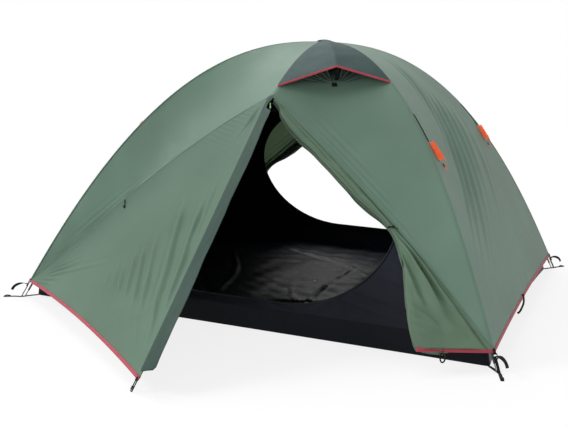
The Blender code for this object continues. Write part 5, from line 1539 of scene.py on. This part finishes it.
for share in np.linspace(0, 1, 14)[1:]:
    flat = low * (1 - share) + high * share
    shift = 0.0018 * np.sin(np.arange(len(flat)) * 0.55) * math.sin(math.pi * share)
    inward = 1 - (0.0016 + shift)[:, None] / np.linalg.norm(flat, axis=1)[:, None]
    height = floor["base"] + (floor["wall"] - floor["base"]) * share
    rows.append(np.hstack([flat * inward, np.full((len(flat), 1), height)]))
for climb, shrink in ((0.003, 0.0035), (0.006, 0.0050)):
    inward = 1 - shrink / np.linalg.norm(high, axis=1)[:, None]
    rows.append(np.hstack([high * inward, np.full((len(high), 1), floor["wall"] + climb)]))
piece = clothPiece("groundsheet_cloth", np.array(rows), (0, 0, 1), floorCloth, node="groundsheet", closed=True,
                   slot="floor", thickness=0.0010)

print("tent: inner tent made")

# Vent netting under each hood: two halves gathered to the strut's foot, with a slot that the strut folds through
vent = {"brim": 0.945, "sides": {"left": (0.14, 0.44), "right": (0.58, 0.88)}, "slot": 0.0140, "drop": 0.0045,
        "rays": 5, "footAcross": 0.024, "footLong": 0.026, "footThick": 0.0018, "footAt": (0.2115, -0.4365, 1.0240),
        "footAlong": (0.015, -0.026, -0.020), "belowStrut": (0.0, -0.012, -0.012)}
footPoint, footAlong = np.array(vent["footAt"]), unit(vent["footAlong"])
footNormal = upwards(unit(np.cross(footAlong, strutAcross)))
for name, turned in bothEnds:
    covers = [sweep(f"strut_foot_patch_{name}", [footPoint + footNormal * vent["footThick"] + footAlong * a
                                                 for a in np.linspace(-0.5, 0.5, 8) * vent["footLong"]],
                    unit(np.cross(footNormal, footAlong)), footNormal,
                    flatSection(vent["footAcross"], vent["footThick"]), blackWebbing, turned=turned, slot="webbing")]
    for side, (first, last) in vent["sides"].items():
        share = np.linspace(first, last, 60)[None]
        fan = np.linspace(0, 1, 26)[:, None]
        aside = strutAcross * vent["slot"] * (1 if side == "left" else -1)
        top = hoodPoint(np.full(share.shape, vent["brim"]), share, -vent["drop"])[0]
        foot = strutStart + np.array(vent["belowStrut"]) + aside
        grid = foot + (top - foot) * fan[..., None]
        pleat = 0.0060 * np.sin(share * 60 + 2 * np.sin(share * 11)) * np.sin(math.pi * fan ** 0.8) * fan
        droop = 0.012 * np.sin(math.pi * fan) * np.sin(math.pi * (share - first) / (last - first))
        grid = grid + strutFace * pleat[..., None] + np.array([0.0, 0.5, -0.2]) * droop[..., None]
        # The netting's dark colours carry painted shade from the hood above
        net = clothPiece(f"vent_netting_{side}_{name}", grid, -strutFace, shadedVentNetting, turned=turned,
                         thickness=0.0005, slot="fly")
        rays = [cordPiece(f"vent_ray_{side}_{k}_{name}", grid[1:-1, column], 0.0010, greenTape, sides=2,
                          turned=turned, slot="fly")
                for k, column in enumerate(np.linspace(2, 57, vent["rays"]).astype(int))]
        covers = []

# A pull-out tape at the middle of each side's hem, and the spare toggle on each fixed half
pullOut = {"share": -0.13, "width": 0.013, "thickness": 0.0022, "facing": (0.80, -0.60, 0.0),
           "line": [(-0.006, 0.0, 0.018), (0.0, 0.0, 0.0), (0.003, -0.010, -0.020), (-0.002, -0.024, -0.042),
                    (-0.010, -0.034, -0.060), (-0.018, -0.036, -0.066)]}
for name, turned in bothSides:
    hemPoint = sidePoint(float(hemArc(pullOut["share"])) + 0.010, pullOut["share"] * 0.93)[0]
    line = throughPoints(hemPoint + np.array([0.0034, 0.0, 0.0]) + np.array(pullOut["line"]), 40)
    wide = -crossAlong(line, np.array(pullOut["facing"]))
    sweep(f"side_pull_out_{name}", line, wide, crossAlong(line, wide),
          flatSection(pullOut["width"], pullOut["thickness"]), blackWebbing, turned=turned, slot="webbing")
spare = {"share": 0.590, "aside": -0.010, "below": 0.016, "lift": 0.0036, "lean": 0.64, "length": 0.052,
         "swell": 0.004, "tag": (0.0110, 0.0085), "barAt": (0.059, 0.0020),
         "bar": [(-0.009, 0.0006), (-0.0086, 0.0026), (-0.007, 0.0040), (-0.004, 0.0048), (0.0, 0.0048),
                 (0.003, 0.0040), (0.006, 0.0047), (0.0075, 0.0036), (0.0085, 0.0020), (0.009, 0.0006)]}
hemRing = {"place": 0.66, "below": 0.034, "across": 0.014, "down": 0.017, "wave": 0.003, "radius": 0.0030}
for name, turned in bothEnds:
    spin = turnedMatrix(turned)
    hangAt = seam(spare["share"], frontLeft) + panelSide * spare["aside"] + zipDown * spare["below"] \
        + panelNormal * spare["lift"]
    hang = unit(zipDown - spare["lean"] * panelSide)
    tag = [hangAt + hang * along + panelNormal * (spare["swell"] * math.sin(math.pi * along / spare["length"]))
           for along in np.linspace(0, spare["length"], 12)]
    sweep(f"spare_loop_{name}", tag, unit(np.cross(hang, panelNormal)), panelNormal, flatSection(*spare["tag"]),
          flyPolyester, turned=turned, slot="fly")
    barAt = hangAt + hang * spare["barAt"][0] + panelNormal * spare["barAt"][1]
    lathe(f"spare_toggle_{name}", spare["bar"], spin @ frameAt(barAt, hang, panelNormal, np.cross(hang, panelNormal)),
          moulded, slot="plastic")
    # Elastic ring on the door's hem, for its peg
    ringAt = doorEdge(1.0) * hemRing["place"] + frontRight * (1 - hemRing["place"]) - up * hemRing["below"]
    angle = circleOf(60)[:, None]
    ring = ringAt + hemAlongFront * (hemRing["across"] * np.cos(angle)) - up * hemRing["down"] * np.sin(angle) \
        + doorNormal * (hemRing["wave"] * np.cos(2 * angle))
    cordPiece(f"door_hem_ring_{name}", ring, hemRing["radius"], blackBraid, closed=True, turned=turned, slot="webbing")

print("tent: small pieces made")

# Studio: a pale floor, a white surround and four soft lamps
studio = {"floorSize": 60.0, "floorDrop": 0.0006, "floorColour": "#e9e9e9", "floorShade": 0.22, "floorWhite": 0.82,
          "surround": 0.34,
          "lamps": [("keyLamp", (-1.0, -0.35, 0.8), 1.15, 20.0), ("backLamp", (-0.6, 0.6, 1.0), 1.10, 30.0),
                    ("sideLamp", (1.0, 0.6, 0.4), 0.10, 30.0), ("frontLamp", (0.1, -1.0, 0.3), 0.30, 30.0)]}


def seenRays(tree):
    # 1 where the background itself is seen, straight, mirrored or through a clear piece
    path = addNode(tree, "ShaderNodeLightPath")
    seen = mathOf(tree, "MAXIMUM", path.outputs["Is Camera Ray"], path.outputs["Is Glossy Ray"])
    return mathOf(tree, "MAXIMUM", seen, path.outputs["Is Transmission Ray"])


def makeFloor():
    size = studio["floorSize"] / 2
    mesh = bpy.data.meshes.new("studioFloor")
    mesh.from_pydata([(x * size, y * size, 0.0) for x, y in ((-1, -1), (1, -1), (1, 1), (-1, 1))], [],
                     [(0, 1, 2, 3)])
    item = addObject("studioFloor", mesh)
    item.location.z = -studio["floorDrop"]
    material, tree = newMaterial("studioFloor")
    seen = seenRays(tree)
    plain = addNode(tree, "ShaderNodeBsdfDiffuse", Color=hexColour(studio["floorColour"]))
    shaded = addNode(tree, "ShaderNodeBsdfDiffuse", Color=(studio["floorShade"],) * 3 + (1.0,))
    white = addNode(tree, "ShaderNodeEmission", Color=(1.0, 1.0, 1.0, 1.0), Strength=studio["floorWhite"])
    bright = addNode(tree, "ShaderNodeAddShader", _0=shaded.outputs[0], _1=white.outputs[0])
    mesh.materials.append(withSurface(material, mixShaders(tree, seen, plain.outputs[0], bright.outputs[0])))


def makeLight():
    world = bpy.data.worlds.new("studioWorld")
    bpy.context.scene.world = world
    world.use_nodes = True
    tree = world.node_tree
    tree.nodes.clear()
    seen = seenRays(tree)
    soft, white = (addNode(tree, "ShaderNodeBackground", Color=(1.0, 1.0, 1.0, 1.0), Strength=strength)
                   for strength in (studio["surround"], 1.0))
    addNode(tree, "ShaderNodeOutputWorld", Surface=mixShaders(tree, seen, soft.outputs[0], white.outputs[0]))
    for name, towards, strength, spread in studio["lamps"]:
        lamp = bpy.data.lights.new(name, "SUN")
        lamp.energy, lamp.angle = strength, math.radians(spread)
        item = addObject(name, lamp)
        item.rotation_mode = "QUATERNION"
        item.rotation_quaternion = Vector(towards).to_track_quat("Z", "Y")


makeFloor()
makeLight()
bpy.context.scene.view_settings.view_transform = "Standard"
bpy.context.view_layer.update()
print("tent: done")
